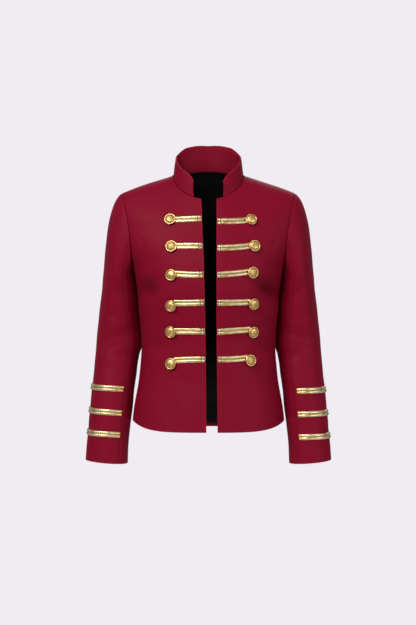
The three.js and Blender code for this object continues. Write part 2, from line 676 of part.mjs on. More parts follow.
function cuffBraid(sleeve, side, row) {
  const mirror = side === 'left' ? 1 : -1;
  const { outer, inner, end } = CUFF_ROWS[side][row];
  const back = seamTurn('back', outer) + CUFF_BRAID.endGap;
  return braidStrip(`cuff_braid_${side}_${row + 1}`, evenly(42), CUFF_BRAID.width, (share, across) => {
    const turn = lerp(back, end, share);
    const z = lerp(outer, inner, Math.max(turn, 0) / end) + across;
    const target = ringPoint(turn, z);
    target.x *= mirror;
    const centre = sleeveCentre(target).setZ(z);
    const normal = target.sub(centre).normalize();
    const from = centre.addScaledVector(normal, 120);
    return { point: touch(sleeve, from, normal.clone().negate()), normal };
  });
}

// Domed button on a shank, turned about its own axis, standing on the cloth along its normal.
function button(front, side, row) {
  const { rim, shank, lift, rimHeight, edge, height, sides } = BUTTON;
  const dome = height - rimHeight - edge;
  const profile = [
    [0, lift], [shank, lift], [shank, rimHeight], [rim, rimHeight], [rim, rimHeight + edge],
    [rim * 0.7, rimHeight + edge + dome * 0.68], [0, height],
  ].map(([radius, h]) => new THREE.Vector2(radius, h));
  const geometry = new THREE.LatheGeometry(profile, sides);
  const mesh = new THREE.Mesh(geometry, BUTTON_METAL);
  const x = BUTTON_X[side][row];
  const z = CHEST_ROWS[row][side][0];
  mesh.name = `button_${side}_${row + 1}`;
  mesh.position.copy(frontTouch(front, x, z));
  mesh.quaternion.setFromUnitVectors(vector(0, 1, 0), frontNormal(x, z));
  return mesh;
}

// ---- The jacket ----

function jacket() {
  const group = new THREE.Group();
  group.add(backPanel(), backLining(), collar());
  for (const side of ['left', 'right']) {
    const front = frontPanel(side);
    const top = sleevePiece(side, 'top');
    group.add(front, top, sleevePiece(side, 'under'));
    CHEST_ROWS.forEach((_, row) => group.add(chestBraid(front, side, row), button(front, side, row)));
    CUFF_ROWS[side].forEach((_, row) => group.add(cuffBraid(top, side, row)));
  }
  return group;
}

export default jacket();
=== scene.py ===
"""Military parade jacket: its cloth, lining, braid, buttons and stitching, and a small studio.

Laid out as an add-on and run as a script. The jacket is filled out as if worn, with no wearer.
+Z is up, the front faces -Y and the wearer's left is +X. Shapes are worked out in millimetres, from
the origin at the neck base, and become metres as each mesh is written.
"""

import bpy
import numpy as np
from bpy.props import FloatProperty, FloatVectorProperty, IntProperty, PointerProperty
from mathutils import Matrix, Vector


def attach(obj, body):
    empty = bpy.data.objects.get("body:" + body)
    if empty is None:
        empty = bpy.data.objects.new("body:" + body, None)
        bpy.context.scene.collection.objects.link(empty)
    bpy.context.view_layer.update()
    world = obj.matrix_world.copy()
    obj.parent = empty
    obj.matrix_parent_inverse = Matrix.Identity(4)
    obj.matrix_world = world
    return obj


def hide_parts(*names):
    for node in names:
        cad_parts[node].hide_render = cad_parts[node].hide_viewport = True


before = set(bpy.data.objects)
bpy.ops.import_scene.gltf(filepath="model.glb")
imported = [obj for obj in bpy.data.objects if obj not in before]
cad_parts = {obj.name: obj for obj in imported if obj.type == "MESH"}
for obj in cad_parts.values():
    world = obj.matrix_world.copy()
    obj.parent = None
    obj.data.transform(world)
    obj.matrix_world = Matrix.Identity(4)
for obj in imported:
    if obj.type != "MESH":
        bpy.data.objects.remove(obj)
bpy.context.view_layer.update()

bl_info = {
    "name": "Parade jacket",
    "version": (1, 0, 0),
    "blender": (4, 5, 0),
    "location": "3D Viewport > Sidebar > Jacket",
    "description": "Cloth, braid, buttons and studio for a military parade jacket",
    "category": "Object",
}

MM = 0.001
SIGN = {"left": 1.0, "right": -1.0}
FACING_SIGN = {"front": -1.0, "back": 1.0}


def table(columns, *rows):
    """A short table as named columns, each an array from the top row down."""
    return dict(zip(columns.split(), np.array(rows, float).T))


# ---- Driving sizes, in millimetres, as the solids have them ----

SEAM_GAP = 0.3
ROUNDNESS = 2.2  # exponent of the body's superellipse sections: 2 is an ellipse

# Body sections: half width, and depth in front of and behind the origin, at height z.
# Above the armpit the half width is that of the whole shoulder span, which the armholes cut short.
BODY_SECTIONS = table(
    "z half_width front back",
    (60, 215, 46, 66),
    (14, 215, 55, 82),
    (-25, 215, 64, 91),
    (-50, 215, 73, 96),
    (-90, 211, 89, 103),
    (-130, 203, 103, 109),
    (-171, 188, 118, 112),
    (-205, 170, 127, 111),
    (-250, 161.5, 131, 106),
    (-310, 155.5, 122, 95),
    (-385, 150.5, 108, 88),
    (-452, 155.5, 108, 95),
    (-524, 167.5, 114, 110),
    (-600, 175.5, 120, 121),
)
SPAN = BODY_SECTIONS["half_width"][0]
CHEST_Z = -150  # above this level, outwards is measured from the chest

# Distance of each front edge from the middle: the wearer's right front swings towards it lower down.
FRONT_EDGES = table(
    "z left right",
    (-52, 18.1, 16.6),
    (-74, 17.9, 14.6),
    (-128, 17.7, 13),
    (-164, 17.6, 11.1),
    (-236, 17.5, 8.9),
    (-308, 17.5, 7.2),
    (-380, 17.9, 6.1),
    (-440, 18.8, 5.5),
    (-506, 19.6, 5),
    (-580, 20, 4.5),
)

# Hem: its height at the centre, and how far and how sharply it rises to the side seams.
HEM = {"centre": -572, "side_rise": 22, "sharpness": 5}
# Neckline: half its width, how far it drops in front and rises behind, and the exponent of that rise.
NECK = {"half_width": 79, "front_drop": 58, "back_rise": 14, "back_shape": 2.6}
# Shoulder seam: reach outwards, drop for each step outwards and more at the tip, and Y at its two ends.
SHOULDER = {"width": 115, "slope": 0.325, "tip_drop": 3, "neck_y": 12, "tip_y": 5}
SHOULDER_END = NECK["half_width"] + SHOULDER["width"]
# The shoulder line runs on inside the neck, rising by the square and cube of the way to the middle.
INSIDE_NECK = {"front": {"square": 37.4, "cube": 0}, "back": {"square": 29.1, "cube": -28.2}}
# How far below the shoulder line each face starts to round over to it, at the neck and at the tip.
SHOULDER_ROUNDING = {"front": {"neck": 130, "tip": 62}, "back": {"neck": 75, "tip": 66}}
# Armhole: X and Z of its lowest point, how much further out its top is and by what exponent of the way
# up, and how far its sides are scooped in.
ARMHOLE = {"bottom_x": 170, "flare": 24, "flare_shape": 1.2, "scoop": 3, "bottom_z": -205}
# Collar: it leans in by shares of its foot's width and depth at lean_height. Its front ends stand at
# end_turn in degrees with corners of one radius. Its foot is sunk behind and slimmer all round.
COLLAR = {
    "lean_height": 54,
    "corner": 18,
    "side_lean": 0.089,
    "depth_lean": 0.07,
    "foot_gap": 0.1,
    "back_sink": 0.9,
    "end_turn": 25,
    "slim_foot": 1.0,
    "slim_reach": 5,
}
# Unevenness of the collar: waves of their own height and closeness, faded out above the foot, and how
# far the cloth rolls in at the foot.
COLLAR_WAVES = {"height": 0.6, "around": 1.4, "up": 1.6, "phase": 5.1, "fade": 12, "foot_roll": 0.3}
# Collar's height at turns in degrees from the centre front: lowest at the sides.
COLLAR_HEIGHTS = table(
    "turn height",
    (180, 57),
    (151, 59.5),
    (136, 59.5),
    (122, 55.5),
    (109, 49.5),
    (96, 45),
    (84, 43),
    (64, 44.5),
    (45, 45.8),
    (30, 44),
)

# Sleeve rings below the armhole: outer and inner reach in X, half depth and middle in Y.
SLEEVE_RINGS = table(
    "z outer inner half_depth middle",
    (-236, 239, 163.2, 64, 19),
    (-300, 246, 155.6, 58, 26),
    (-376, 253.5, 149.8, 52, 28),
    (-416, 257, 158.5, 49, 23),
    (-452, 260, 162.5, 47, 17),
    (-488, 263.5, 167.5, 45, 11),
    (-524, 266.5, 171, 44, 6),
    (-560, 270, 175.5, 43, 2),
    (-596, 273, 179, 42, -1),
    (-660, 278, 182, 42, -4),
)
FIRST_RING = SLEEVE_RINGS["z"][0]

# Turn of the sleeve's two long seams, in degrees from the outside of the arm, positive to the front.
SLEEVE_SEAMS = table("z front back", (-150, 107, -112.5), (-246, 108, -113.5),
                     (-376, 121, -115), (-640, 129, -118))
# Sleeve cap: pull of its cubic where it leaves the armhole, and degrees below level there.
CAP = {"reach": 0.59, "top_pitch": 31, "bottom_pitch": 95}
# Cuff: its height, and how much higher it is outside and lower in front.
CUFF = {"z": -643, "outer_rise": 4, "front_drop": 2}

# Folds pressed into the cloth: place, half length, half width, tilt in degrees, and depth, which is
# negative on a ridge. "at" is X on the body and, on sleeves, the turn times the girth per degree.
GIRTH_PER_DEGREE = 0.85
ARM_RADIUS = 60  # of the round arm that the gentle waves run over
FOLD_COLUMNS = "at z length width tilt depth"
FRONT_FOLDS = {
    "left": table(
        FOLD_COLUMNS,
        (134, -252, 38, 18, -24, 5),
        (146, -300, 34, 14, 64, -2),
        (118, -392, 36, 15, 14, 2.6),
        (60, -186, 62, 18, 4, 1.8),
        (92, -520, 46, 20, 78, 2.2),
    ),
    "right": table(
        FOLD_COLUMNS,
        (-136, -244, 32, 16, 26, 5),
        (-144, -292, 32, 14, -60, -2),
        (-122, -384, 34, 14, -12, 2.8),
        (-58, -128, 58, 18, -5, 1.8),
        (-86, -514, 50, 20, -80, 2),
    ),
}
BACK_FOLDS = table(
    FOLD_COLUMNS,
    (92, -214, 48, 20, -58, 4),
    (-96, -206, 44, 20, 60, 4.4),
    (52, -378, 50, 15, 10, 3.2),
    (-60, -392, 46, 16, -12, 3.4),
    (4, -352, 40, 14, 3, 2.4),
    (66, -520, 48, 22, 84, 2.4),
    (-58, -510, 52, 22, -82, 2.2),
)
SLEEVE_FOLDS = table(
    FOLD_COLUMNS,
    (84, -262, 30, 16, -40, 4),
    (78, -360, 30, 13, 16, 3.4),
    (92, -404, 26, 12, -14, 2.8),
    (-86, -286, 30, 16, 36, 3.6),
    (-70, -392, 28, 15, -12, 2.4),
    (26, -556, 30, 12, 38, 1.6),
)
SEAM_FADE = 8  # power of the way to the side seam by which folds die out there

# Finer creases, in the same columns, that only the cloth here has.
FRONT_CREASES = {
    "left": table(
        FOLD_COLUMNS,
        (139, -259, 24, 17, -14, 7.5),
        (150, -150, 26, 6, 58, 1.0),
        (120, -118, 34, 8, -38, 0.9),
        (56, -120, 40, 9, -6, 0.7),
        (58, -248, 44, 9, 3, 0.8),
        (62, -316, 46, 10, -4, 0.9),
        (128, -336, 30, 7, 22, 0.9),
        (104, -440, 34, 8, -18, 0.8),
        (48, -470, 40, 10, 8, 0.7),
        (120, -480, 28, 8, 70, 0.7),
    ),
    "right": table(
        FOLD_COLUMNS,
        (-134, -261, 25, 17, 14, 7.5),
        (-152, -146, 26, 6, -56, 1.0),
        (-116, -124, 34, 8, 40, 0.9),
        (-54, -190, 42, 9, 5, 0.8),
        (-56, -252, 42, 9, -4, 0.7),
        (-60, -314, 46, 10, 4, 0.9),
        (-126, -330, 30, 7, -24, 0.9),
        (-100, -446, 34, 8, 16, 0.8),
        (-46, -462, 40, 10, -6, 0.6),
        (-122, -474, 28, 8, -72, 0.7),
    ),
}
BACK_CREASES = table(
    FOLD_COLUMNS,
    (128, -168, 30, 7, 62, 1.1),
    (-126, -162, 30, 7, -60, 1.1),
    (30, -420, 34, 8, 14, 1.0),
    (-34, -340, 36, 8, -16, 1.0),
    (104, -330, 34, 8, -24, 1.0),
    (-108, -322, 34, 8, 26, 0.9),
    (20, -90, 60, 14, 3, 0.8),
    (0, -250, 70, 22, 88, 0.9),
)
SLEEVE_CREASES = table(
    FOLD_COLUMNS,
    (60, -318, 26, 6, -22, 1.1),
    (70, -384, 26, 6, 10, 1.2),
    (52, -430, 24, 6, -20, 0.9),
    (-40, -340, 28, 7, 24, 0.9),
    (-56, -436, 24, 7, 14, 0.8),
    (8, -250, 34, 8, 66, 0.8),
    (40, -506, 24, 6, -14, 0.7),
    (60, -610, 22, 7, 24, 0.7),
    (150, -300, 26, 8, 30, 1.2),
    (166, -352, 24, 7, -12, 1.3),
    (158, -398, 24, 7, 14, 1.2),
    (176, -470, 26, 8, -24, 0.9),
)
# Gentle waves all over the cloth: their height and length, and the directions and shares of three.
UNEVEN = {"height": 0.55, "wave": 118.0}
WAVES = table("across up phase share", (0.8, 0.6, 1, 0.45), (1.3, -0.9, 1.7, 0.3), (0.4, 1.9, -2.3, 0.25))
FRONT_PHASE = {"left": 0.7, "right": 2.1}  # where the waves start, so that the fronts differ
SEAM_ROLL = {"depth": 0.28, "reach": 2.2}  # how far the cloth rolls in along a seam
# Painted shade: depth of a fold at which its cloth's colour starts to darken, and the further depth that
# makes it darkest.
DEEP_FOLD = {"starts": 2.0, "span": 12.0}
SEWN_INSET = 0.03  # half the gap left between sewn edges
# Painted highlight: the cloth's colour is lighter near its free edges, where they catch the light.
EDGE_HIGHLIGHT = 1.4  # how far in from a free edge the cloth catches the light
EDGE_STITCH = {"inset": 8.0, "depth": 0.28, "width": 0.9}

# Chest rows: heights of the button and of the braid's outer and inner ends, the button's place, and how
# far the braid hangs below the straight line between its ends, in the middle.
CHEST_ROWS = {
    "left": table(
        "button outer inner button_x sag",
        (-106, -105.5, -108.5, 93.5, 1.3),
        (-163.5, -162, -168, 100, 1.5),
        (-221.5, -219.5, -227, 95.5, 0.9),
        (-290, -286, -288, 97, 0.3),
        (-352, -346.5, -352, 97, -0.5),
        (-414.5, -408.5, -412, 91, 0.8),
    ),
    "right": table(
        "button outer inner button_x sag",
        (-105, -104.5, -102.5, -84, 0.3),
        (-165, -163.5, -163.5, -80.5, -0.3),
        (-227, -224, -226.5, -80.5, 1.2),
        (-294, -288, -287, -81, 0.7),
        (-351, -350, -351, -81.5, -0.4),
        (-421.5, -414.5, -412, -81.5, -0.9),
    ),
}
# Heights of the three braids on each sleeve, on the outside of the arm and at the front end, and the
# turn of that end.
CUFF_ROWS = {
    "left": table("outer inner end", (-481.5, -484.6, 112), (-533, -536.4, 116), (-584, -587, 120)),
    "right": table("outer inner end", (-475, -480, 121), (-527, -533.5, 124), (-576, -582, 126)),
}
CUFF_BRAID_GAP = 1.2  # degrees between the braid's back end and the sleeve's back seam

# Chest braid: how far it stops short of the front edge and of the button's middle, its length over the
# straight line between them, and where its bar tacks lie in from its inner end.
BRAID = {"edge_inset": 1.5, "shank_room": 5.5, "slack": 1.03, "tacks": (2.4, 8.2)}
# Each bar tack is three threads side by side across the pinched ridges.
TACK_THREADS = {
    "shifts": (-0.4, 0.0, 0.4),
    "radius": 0.22,
    "steps": 25,
    "cover": 0.98,
    "pinched": 0.56,
    "rise": 0.12,
}
# Section of every braid: lift of its underside and how much of the width that takes, and shares of the
# height left between the ridges and at the edges. ridge is the exponent of a ridge's outline.
BRAID_SECTION = {"under": 0.15, "under_share": 0.94, "valley": 0.24, "rim": 0.1, "ridge": 2.3, "steps": 23}
# Twist of the ridges: rings for each turn of cord, its height, and its lean for each step across. Then
# their slow and quick rise and fall along the braid.
CORD = {"rings": 5, "twist": 0.08, "lean": 1.1}
SLOW_RISE = {"height": 0.16, "reach": 6.1, "start": 0.8}
QUICK_RISE = {"height": 0.1, "reach": 2.9, "start": 1.3}
# A bar tack pinches the ridges by a share of their lift and of the width.
PINCH = {"reach": 0.9, "lift": 0.6, "width": 0.05}
# A braid's end closes over this much of its length, with rings at these places in from it.
END_CLOSED = 1.0
BRAID_END = np.array([0, 0.25, 0.6])

# Button: radius of the shank, heights of its foot and of the rim's underside, and the rim's edge.
BUTTON = {"shank": 3.5, "foot": 0.6, "rim_height": 4.6, "edge": 1.1}
# Its face: shares of the radius outwards, heights, and exponents of the dome's and the petals' outlines.
DOME = {"reach": 0.86, "shape": 0.72, "drop": 0.45}
BOSS = {"reach": 0.17, "height": 0.3}
PETALS = {"from": 0.2, "span": 0.56, "shape": 0.55, "height": 0.34, "vein": 0.3, "vein_width": 0.1}
# Between dome and rim: where the groove starts, is deep, meets the rim, begins to rise and ends.
GROOVE = {"from": 0.79, "deep": 0.83, "rim": 0.84, "out": 0.845, "to": 0.88}
ROPE = {"middle": 0.925, "half": 0.078, "height": 0.95, "sink": 0.15, "twist": 0.03, "slant": 4.9}
# Rings of the face: shares of the radius at the dome's first and last, and how many the dome and rim have.
FACE_RINGS = {"first": 0.03, "last": 0.82, "dome": 27, "rim": 9}
# Radians by which a button is turned on its shank, more with each row down and on the left.
BUTTON_TURN = {"row": 0.37, "left": 0.2}

# One stitch: places as shares of its length, its lift there as a share of the thread's thickness, and its
# radius there as a share of the thread's own.
STITCH = table(
    "along lift swell",
    (0, -0.35, 0.35),
    (0.08, 0.15, 0.8),
    (0.3, 0.42, 1),
    (0.7, 0.42, 1),
    (0.92, 0.15, 0.8),
    (1, -0.35, 0.35),
)
STITCH_GAP = 0.7

# Back lining: how far inside the back and above the hem it lies, its share of the way to the side seams,
# and where it ends between the armpit, at 1, and the top, at 2.
LINING = {"sink": 2.15, "hem_margin": 8, "side_share": 0.945, "top_share": 1.975}

# Steps of the grid in from an edge that is sewn to another piece, one that is top-stitched, and a corner.
SEWN_STEPS = np.array([0, 0.5, 1.1, 1.8, 2.7, 4.0, 6.0])
STITCHED_STEPS = np.array([0, 0.5, 1.1, 1.9, 3.0, 4.4, 5.8, 6.7, 7.3, 7.7, 8.1, 8.5, 9.0, 9.8, 11.2])
CORNER_STEPS = np.array([0, 0.8, 1.8, 3.2])
# Grid steps away from the edges, and the counts of the lining's grid.
BODY_STEP = {"across": 2.9, "up": 3.9}
SLEEVE_STEP = {"across": 3.0, "up": 3.9}
COLLAR_STEP = {"along": 3.0, "up": 2.4, "corner": 1.6}
LINING_GRID = {"across": 109, "up": 121}
# Places up a panel and down a sleeve whose lines across are split into even steps.
BELOW_ARMPIT = 0.9
BELOW_FIRST_RING = 1.3


# ---- What a user would change ----


def length_setting(label, description, default):
    """A setting in metres."""
    return FloatProperty(name=label, description=description, unit="LENGTH", default=default)


def colour_setting(label, description, default):
    """A colour as red, green and blue."""
    return FloatVectorProperty(name=label, description=description, subtype="COLOR", default=default)


class JACKET_PG_cloth(bpy.types.PropertyGroup):
    """Thicknesses and colours of the cloth."""

    body_wall: length_setting("Body thickness", "Cloth of the fronts and back", 0.0018)
    sleeve_wall: length_setting("Sleeve thickness", "Cloth of the sleeves", 0.0016)
    collar_wall: length_setting("Collar thickness", "The interfaced collar", 0.003)
    lining_wall: length_setting("Lining thickness", "Lining of the back", 0.0008)
    facing: length_setting("Facing width", "Crimson facing inside the front edges", 0.055)
    cuff_turning: length_setting("Cuff turning", "Crimson cloth turned up inside the cuff", 0.035)
    hem_turning: length_setting("Hem turning", "Crimson cloth turned up inside the hem", 0.009)
    crimson: colour_setting("Crimson", "The cloth's colour", (0.192, 0.0014, 0.0155))
    lining: colour_setting("Lining", "The lining's colour", (0.0022, 0.002, 0.0022))


class JACKET_PG_trim(bpy.types.PropertyGroup):
    """Sizes and colours of braid, buttons and thread."""

    chest_braid_width: length_setting("Chest braid width", "Braid on the fronts", 0.014)
    cuff_braid_width: length_setting("Cuff braid width", "Braid on the sleeves", 0.0135)
    braid_height: length_setting("Braid height", "Height of the two ridges", 0.0029)
    cord_pitch: length_setting("Cord pitch", "Length of one twist of a ridge", 0.0031)
    button_radius: length_setting("Button radius", "Radius over the rope rim", 0.0124)
    button_height: length_setting("Button height", "Height of the dome off the cloth", 0.0098)
    petals: IntProperty(name="Petals", description="Petals of the button's rosette", default=8)
    rope_twists: IntProperty(name="Rope twists", description="Twists of the button's rim", default=46)
    stitch_length: length_setting("Stitch length", "Length of one top stitch", 0.0029)
    thread: length_setting("Thread", "Thickness of the sewing thread", 0.0004)
    braid_gold: colour_setting("Braid gold", "Metallic thread", (0.88, 0.76, 0.48))
    button_gold: colour_setting("Button gold", "Gilt metal", (0.86, 0.62, 0.25))


class JACKET_PG_studio(bpy.types.PropertyGroup):
    """The camera, the floor and the light."""

    distance: length_setting("Camera distance", "From the jacket's middle", 4.0)
    camera_z: length_setting("Camera height", "Level of the lens", -0.309)
    floor_z: length_setting("Floor", "Height of the floor", -1.25)
    lens: FloatProperty(name="Lens", description="Focal length in millimetres", default=102.4)
    backdrop: colour_setting("Backdrop", "Pale backdrop", (0.871, 0.838, 0.888))


# ---- Small helpers ----


def lerp(a, b, t):
    """Value the share t of the way from a to b."""
    return a + (b - a) * t


def unit(vectors):
    """Vectors made one long, along the last axis."""
    return vectors / np.maximum(np.linalg.norm(vectors, axis=-1, keepdims=True), 1e-12)


def stack(x, y, z):
    """Points from their three coordinates, made the same shape first."""
    return np.stack(np.broadcast_arrays(x, y, z), axis=-1)


def hermite(a, da, b, db, t):
    """Cubic from a to b with end slopes da and db, over t from 0 to 1."""
    s = 1 - t
    return a * s * s * (1 + 2 * t) + da * t * s * s + b * t * t * (3 - 2 * t) - db * t * t * s


def value_at(rows, column, at):
    """Smooth value of a table's column where its first column, which runs downwards, is at. It never
    overshoots the rows: a row's slope is the harmonic mean of its neighbouring secants, or level where
    they turn."""
    keys, values = next(iter(rows.values()))[::-1], rows[column][::-1]
    secants = np.diff(values) / np.diff(keys)
    before, after = secants[:-1], secants[1:]
    same_way = before * after > 0
    inner = np.where(same_way, 2 * before * after / np.where(same_way, before + after, 1), 0)
    slopes = np.concatenate([secants[:1], inner, secants[-1:]])
    at = np.clip(at, keys[0], keys[-1])
    i = np.clip(np.searchsorted(keys, at) - 1, 0, len(keys) - 2)
    gap = keys[i + 1] - keys[i]
    t = (at - keys[i]) / gap
    return hermite(values[i], slopes[i] * gap, values[i + 1], slopes[i + 1] * gap, t)


def fold_height(folds, at, z):
    """Sum of the folds at places, positive outwards: each is a Gaussian trough along its tilted length."""
    at, z = np.asarray(at)[..., None], np.asarray(z)[..., None]
    tilt = np.radians(folds["tilt"])
    along = (at - folds["at"]) * np.cos(tilt) + (z - folds["z"]) * np.sin(tilt)
    over = (z - folds["z"]) * np.cos(tilt) - (at - folds["at"]) * np.sin(tilt)
    troughs = np.exp(-((along / folds["length"]) ** 2) - (over / folds["width"]) ** 2)
    return -(folds["depth"] * troughs).sum(axis=-1)


def waves(at, z, phase):
    """Sum of crossed sine waves, so that no stretch of cloth is perfectly even."""
    at, z = np.asarray(at)[..., None], np.asarray(z)[..., None]
    k = 2 * np.pi / UNEVEN["wave"]
    crossed = np.sin(k * (WAVES["across"] * at + WAVES["up"] * z) + WAVES["phase"] * phase)
    return UNEVEN["height"] * (WAVES["share"] * crossed).sum(axis=-1)


# ---- Body surface ----


def turn_of(x, half_width):
    """Turn around a section, 0 at the middle of the face and a quarter turn at the side."""
    return np.arcsin(np.clip(x / half_width, 0, 1) ** (ROUNDNESS / 2))


def shoulder_at(face, x):
    """Line where front and back meet: straight with a dropping tip, and its run inside the neck."""
    inside = np.clip(1 - x / NECK["half_width"], 0, 1)
    share = np.clip((x - NECK["half_width"]) / SHOULDER["width"], 0, None)
    bend = INSIDE_NECK[face]
    rise = SHOULDER["slope"] * NECK["half_width"] * inside
    rise = rise + bend["square"] * inside**2 + bend["cube"] * inside**3
    drop = SHOULDER["slope"] * SHOULDER["width"] * share + SHOULDER["tip_drop"] * share**4
    y = lerp(SHOULDER["neck_y"], SHOULDER["tip_y"], share)
    rounding = lerp(SHOULDER_ROUNDING[face]["neck"], SHOULDER_ROUNDING[face]["tip"], share)
    return rise - drop, y, rounding


def body_y(face, x, z):
    """Depth of the body: a superellipse section, rounded off by another towards the shoulder line."""
    x = np.abs(x)
    reach = np.minimum(x / value_at(BODY_SECTIONS, "half_width", z), 1)
    side = np.maximum(1 - reach**ROUNDNESS, 0) ** (1 / ROUNDNESS)
    section = FACING_SIGN[face] * value_at(BODY_SECTIONS, face, z) * side
    top, y, rounding = shoulder_at(face, x)
    rise = np.clip(1 - (top - z) / rounding, 0, 1)
    return y + (section - y) * (1 - rise**ROUNDNESS) ** (1 / ROUNDNESS)


def neckline_z(turn):
    """Height of the neckline at a turn in radians: a cosine in front, a steeper one behind."""
    c = np.cos(turn)
    behind = NECK["back_rise"] * np.maximum(-c, 0) ** NECK["back_shape"]
    return -NECK["front_drop"] * np.maximum(c, 0) + behind


def top_z(face, x):
    """Height of a panel's top edge at x, on the neckline or on the shoulder seam."""
    turn = np.arcsin(np.clip(x / NECK["half_width"], 0, 1))
    neck = neckline_z(turn if face == "front" else np.pi - turn)
    return np.where(x < NECK["half_width"], neck, shoulder_at(face, x)[0])


def armhole_at(turn):
    """Armhole at a turn in radians, 0 at the shoulder and half a turn under the arm: x, z and rise."""
    rise = (1 + np.cos(turn)) / 2
    x = ARMHOLE["bottom_x"] + ARMHOLE["flare"] * rise ** ARMHOLE["flare_shape"]
    x = x - ARMHOLE["scoop"] * np.sin(turn) ** 2
    tip = shoulder_at("front", np.array(float(SHOULDER_END)))[0]
    return x, lerp(ARMHOLE["bottom_z"], tip, rise), rise


def front_edge_x(side, z):
    """Distance of a front edge from the middle, upright above the table's first row."""
    return value_at(FRONT_EDGES, side, np.minimum(z, FRONT_EDGES["z"][0]))


def inner_turn(face, side, z):
    """Turn of a panel's inner edge: the front edge, or the centre back."""
    if face == "back":
        return np.zeros_like(z)
    return turn_of(front_edge_x(side, z), value_at(BODY_SECTIONS, "half_width", z))


def share_at_top(face, side, x):
    """Share of the way across a panel at which its top edge reaches x."""
    first = inner_turn(face, side, np.array(0.0))
    return (turn_of(x, SPAN) - first) / (turn_of(SHOULDER_END, SPAN) - first)


def body_point(face, side, share, v, top_share=None):
    """Point of a body panel: share of the turn from its inner edge to its side seam or armhole, and v
    from 0 at the hem through 1 at the armpit to 2 at the top, where the share becomes top_share."""
    top_share = share if top_share is None else top_share
    first = inner_turn(face, side, np.array(0.0))
    x_top = SPAN * np.sin(lerp(first, turn_of(SHOULDER_END, SPAN), top_share)) ** (2 / ROUNDNESS)
    hem_first = inner_turn(face, side, np.array(float(HEM["centre"])))
    hem_turn = lerp(hem_first, np.pi / 2, share)
    hem_z = HEM["centre"] + HEM["side_rise"] * np.sin(hem_turn) ** HEM["sharpness"]
    low_z = lerp(hem_z, ARMHOLE["bottom_z"], v)
    arm_x, arm_z, rise = armhole_at(np.pi * np.clip(2 - v, 0, 1))
    high = v > 1
    z = np.where(high, lerp(ARMHOLE["bottom_z"], top_z(face, x_top), rise), low_z)
    arm_turn = turn_of(arm_x, value_at(BODY_SECTIONS, "half_width", arm_z))
    last = np.where(high, arm_turn, np.pi / 2)
    turn = lerp(inner_turn(face, side, z), last, np.where(high, lerp(share, top_share, rise**3), share))
    x = value_at(BODY_SECTIONS, "half_width", z) * np.sin(turn) ** (2 / ROUNDNESS)
    return stack(SIGN[side] * x, body_y(face, x, z), z)


def neckline_point(turn):
    """Point of the neckline at a turn in radians, from the centre front round by the wearer's left."""
    x, z = NECK["half_width"] * np.sin(turn), neckline_z(turn)
    return stack(x, np.where(np.cos(turn) > 0, body_y("front", x, z), body_y("back", x, z)), z)


# ---- Sleeve surface ----


def ring_point(turn, z):
    """Point of a sleeve's elliptic ring at a turn in degrees from the outside of the arm to the front."""
    outer, inner, half_depth, middle = (
        value_at(SLEEVE_RINGS, column, z) for column in ("outer", "inner", "half_depth", "middle")
    )
    angle = np.radians(turn)
    x = (outer + inner) / 2 + (outer - inner) / 2 * np.cos(angle)
    return stack(x, middle - half_depth * np.sin(angle), z)


def sleeve_point(turn, v):
    """Point of the wearer's left sleeve: v from 0 at the armhole through 1 at the first ring to 2 at the
    cuff. The cap is a cubic that leaves the armhole outwards and bends down into the first ring."""
    angle = np.radians(turn)
    cuff_z = CUFF["z"] + CUFF["outer_rise"] * np.cos(angle) - CUFF["front_drop"] * np.sin(angle)
    arm = ring_point(turn, lerp(FIRST_RING, cuff_z, np.clip(v - 1, 0, 1)))
    pitch = np.radians(lerp(CAP["top_pitch"], CAP["bottom_pitch"], (1 - np.cos(angle)) / 2))
    leaving = stack(np.cos(pitch), 0, -np.sin(pitch))
    x, z, _ = armhole_at(np.abs((angle + 3 * np.pi) % (2 * np.pi) - np.pi))
    y = np.where(np.sin(angle) > 0, body_y("front", x, z), body_y("back", x, z))
    start = stack(x + SEAM_GAP, y, z) + leaving * SEAM_GAP
    end = ring_point(turn, np.full_like(turn, FIRST_RING))
    length = np.linalg.norm(end - start, axis=-1, keepdims=True)
    arriving = unit(ring_point(turn, np.full_like(turn, FIRST_RING - 1)) - end) * length
    t = np.clip(v, 0, 1)[..., None]
    cap = hermite(start, leaving * length * CAP["reach"], end, arriving, t)
    return np.where(v[..., None] > 1, arm, cap)


def sleeve_turn(piece, u, v):
    """Turn at share u across a sleeve piece: the top piece goes over the outside, the under one inside."""
    z = np.where(v < 1, lerp(SLEEVE_SEAMS["z"][0], FIRST_RING, v), lerp(FIRST_RING, CUFF["z"], v - 1))
    front, back = (value_at(SLEEVE_SEAMS, seam, z) for seam in ("front", "back"))
    return lerp(back, front, u) if piece == "top" else lerp(front, back + 360, u)


# ---- Collar surface ----


def collar_foot(turn):
    """Point of the collar's foot, just over the neckline and a little sunk behind the neck."""
    lift = COLLAR["foot_gap"] - COLLAR["back_sink"] * np.maximum(-np.cos(turn), 0)
    return neckline_point(turn) + stack(0, 0, lift)


def collar_point(turn, v):
    """Point of the collar: straight up from its foot with a slight lean inwards, v from 0 to 1 of its
    height, which is the table's less a quarter circle at each front end."""
    foot = collar_foot(turn)
    end = np.radians(COLLAR["end_turn"])
    ends = collar_foot(np.where(turn > np.pi, 2 * np.pi - end, end))
    short = np.maximum(COLLAR["corner"] - np.linalg.norm(foot - ends, axis=-1), 0)
    tall = value_at(COLLAR_HEIGHTS, "height", np.degrees(np.minimum(turn, 2 * np.pi - turn)))
    rise = (tall - COLLAR["corner"] + np.sqrt(COLLAR["corner"] ** 2 - short**2)) * v
    lean = rise / COLLAR["lean_height"]
    x = foot[..., 0] * (1 - COLLAR["side_lean"] * lean)
    y = foot[..., 1] * (1 - COLLAR["depth_lean"] * lean)
    return stack(x, y, foot[..., 2] + rise)


# ---- Grids ----


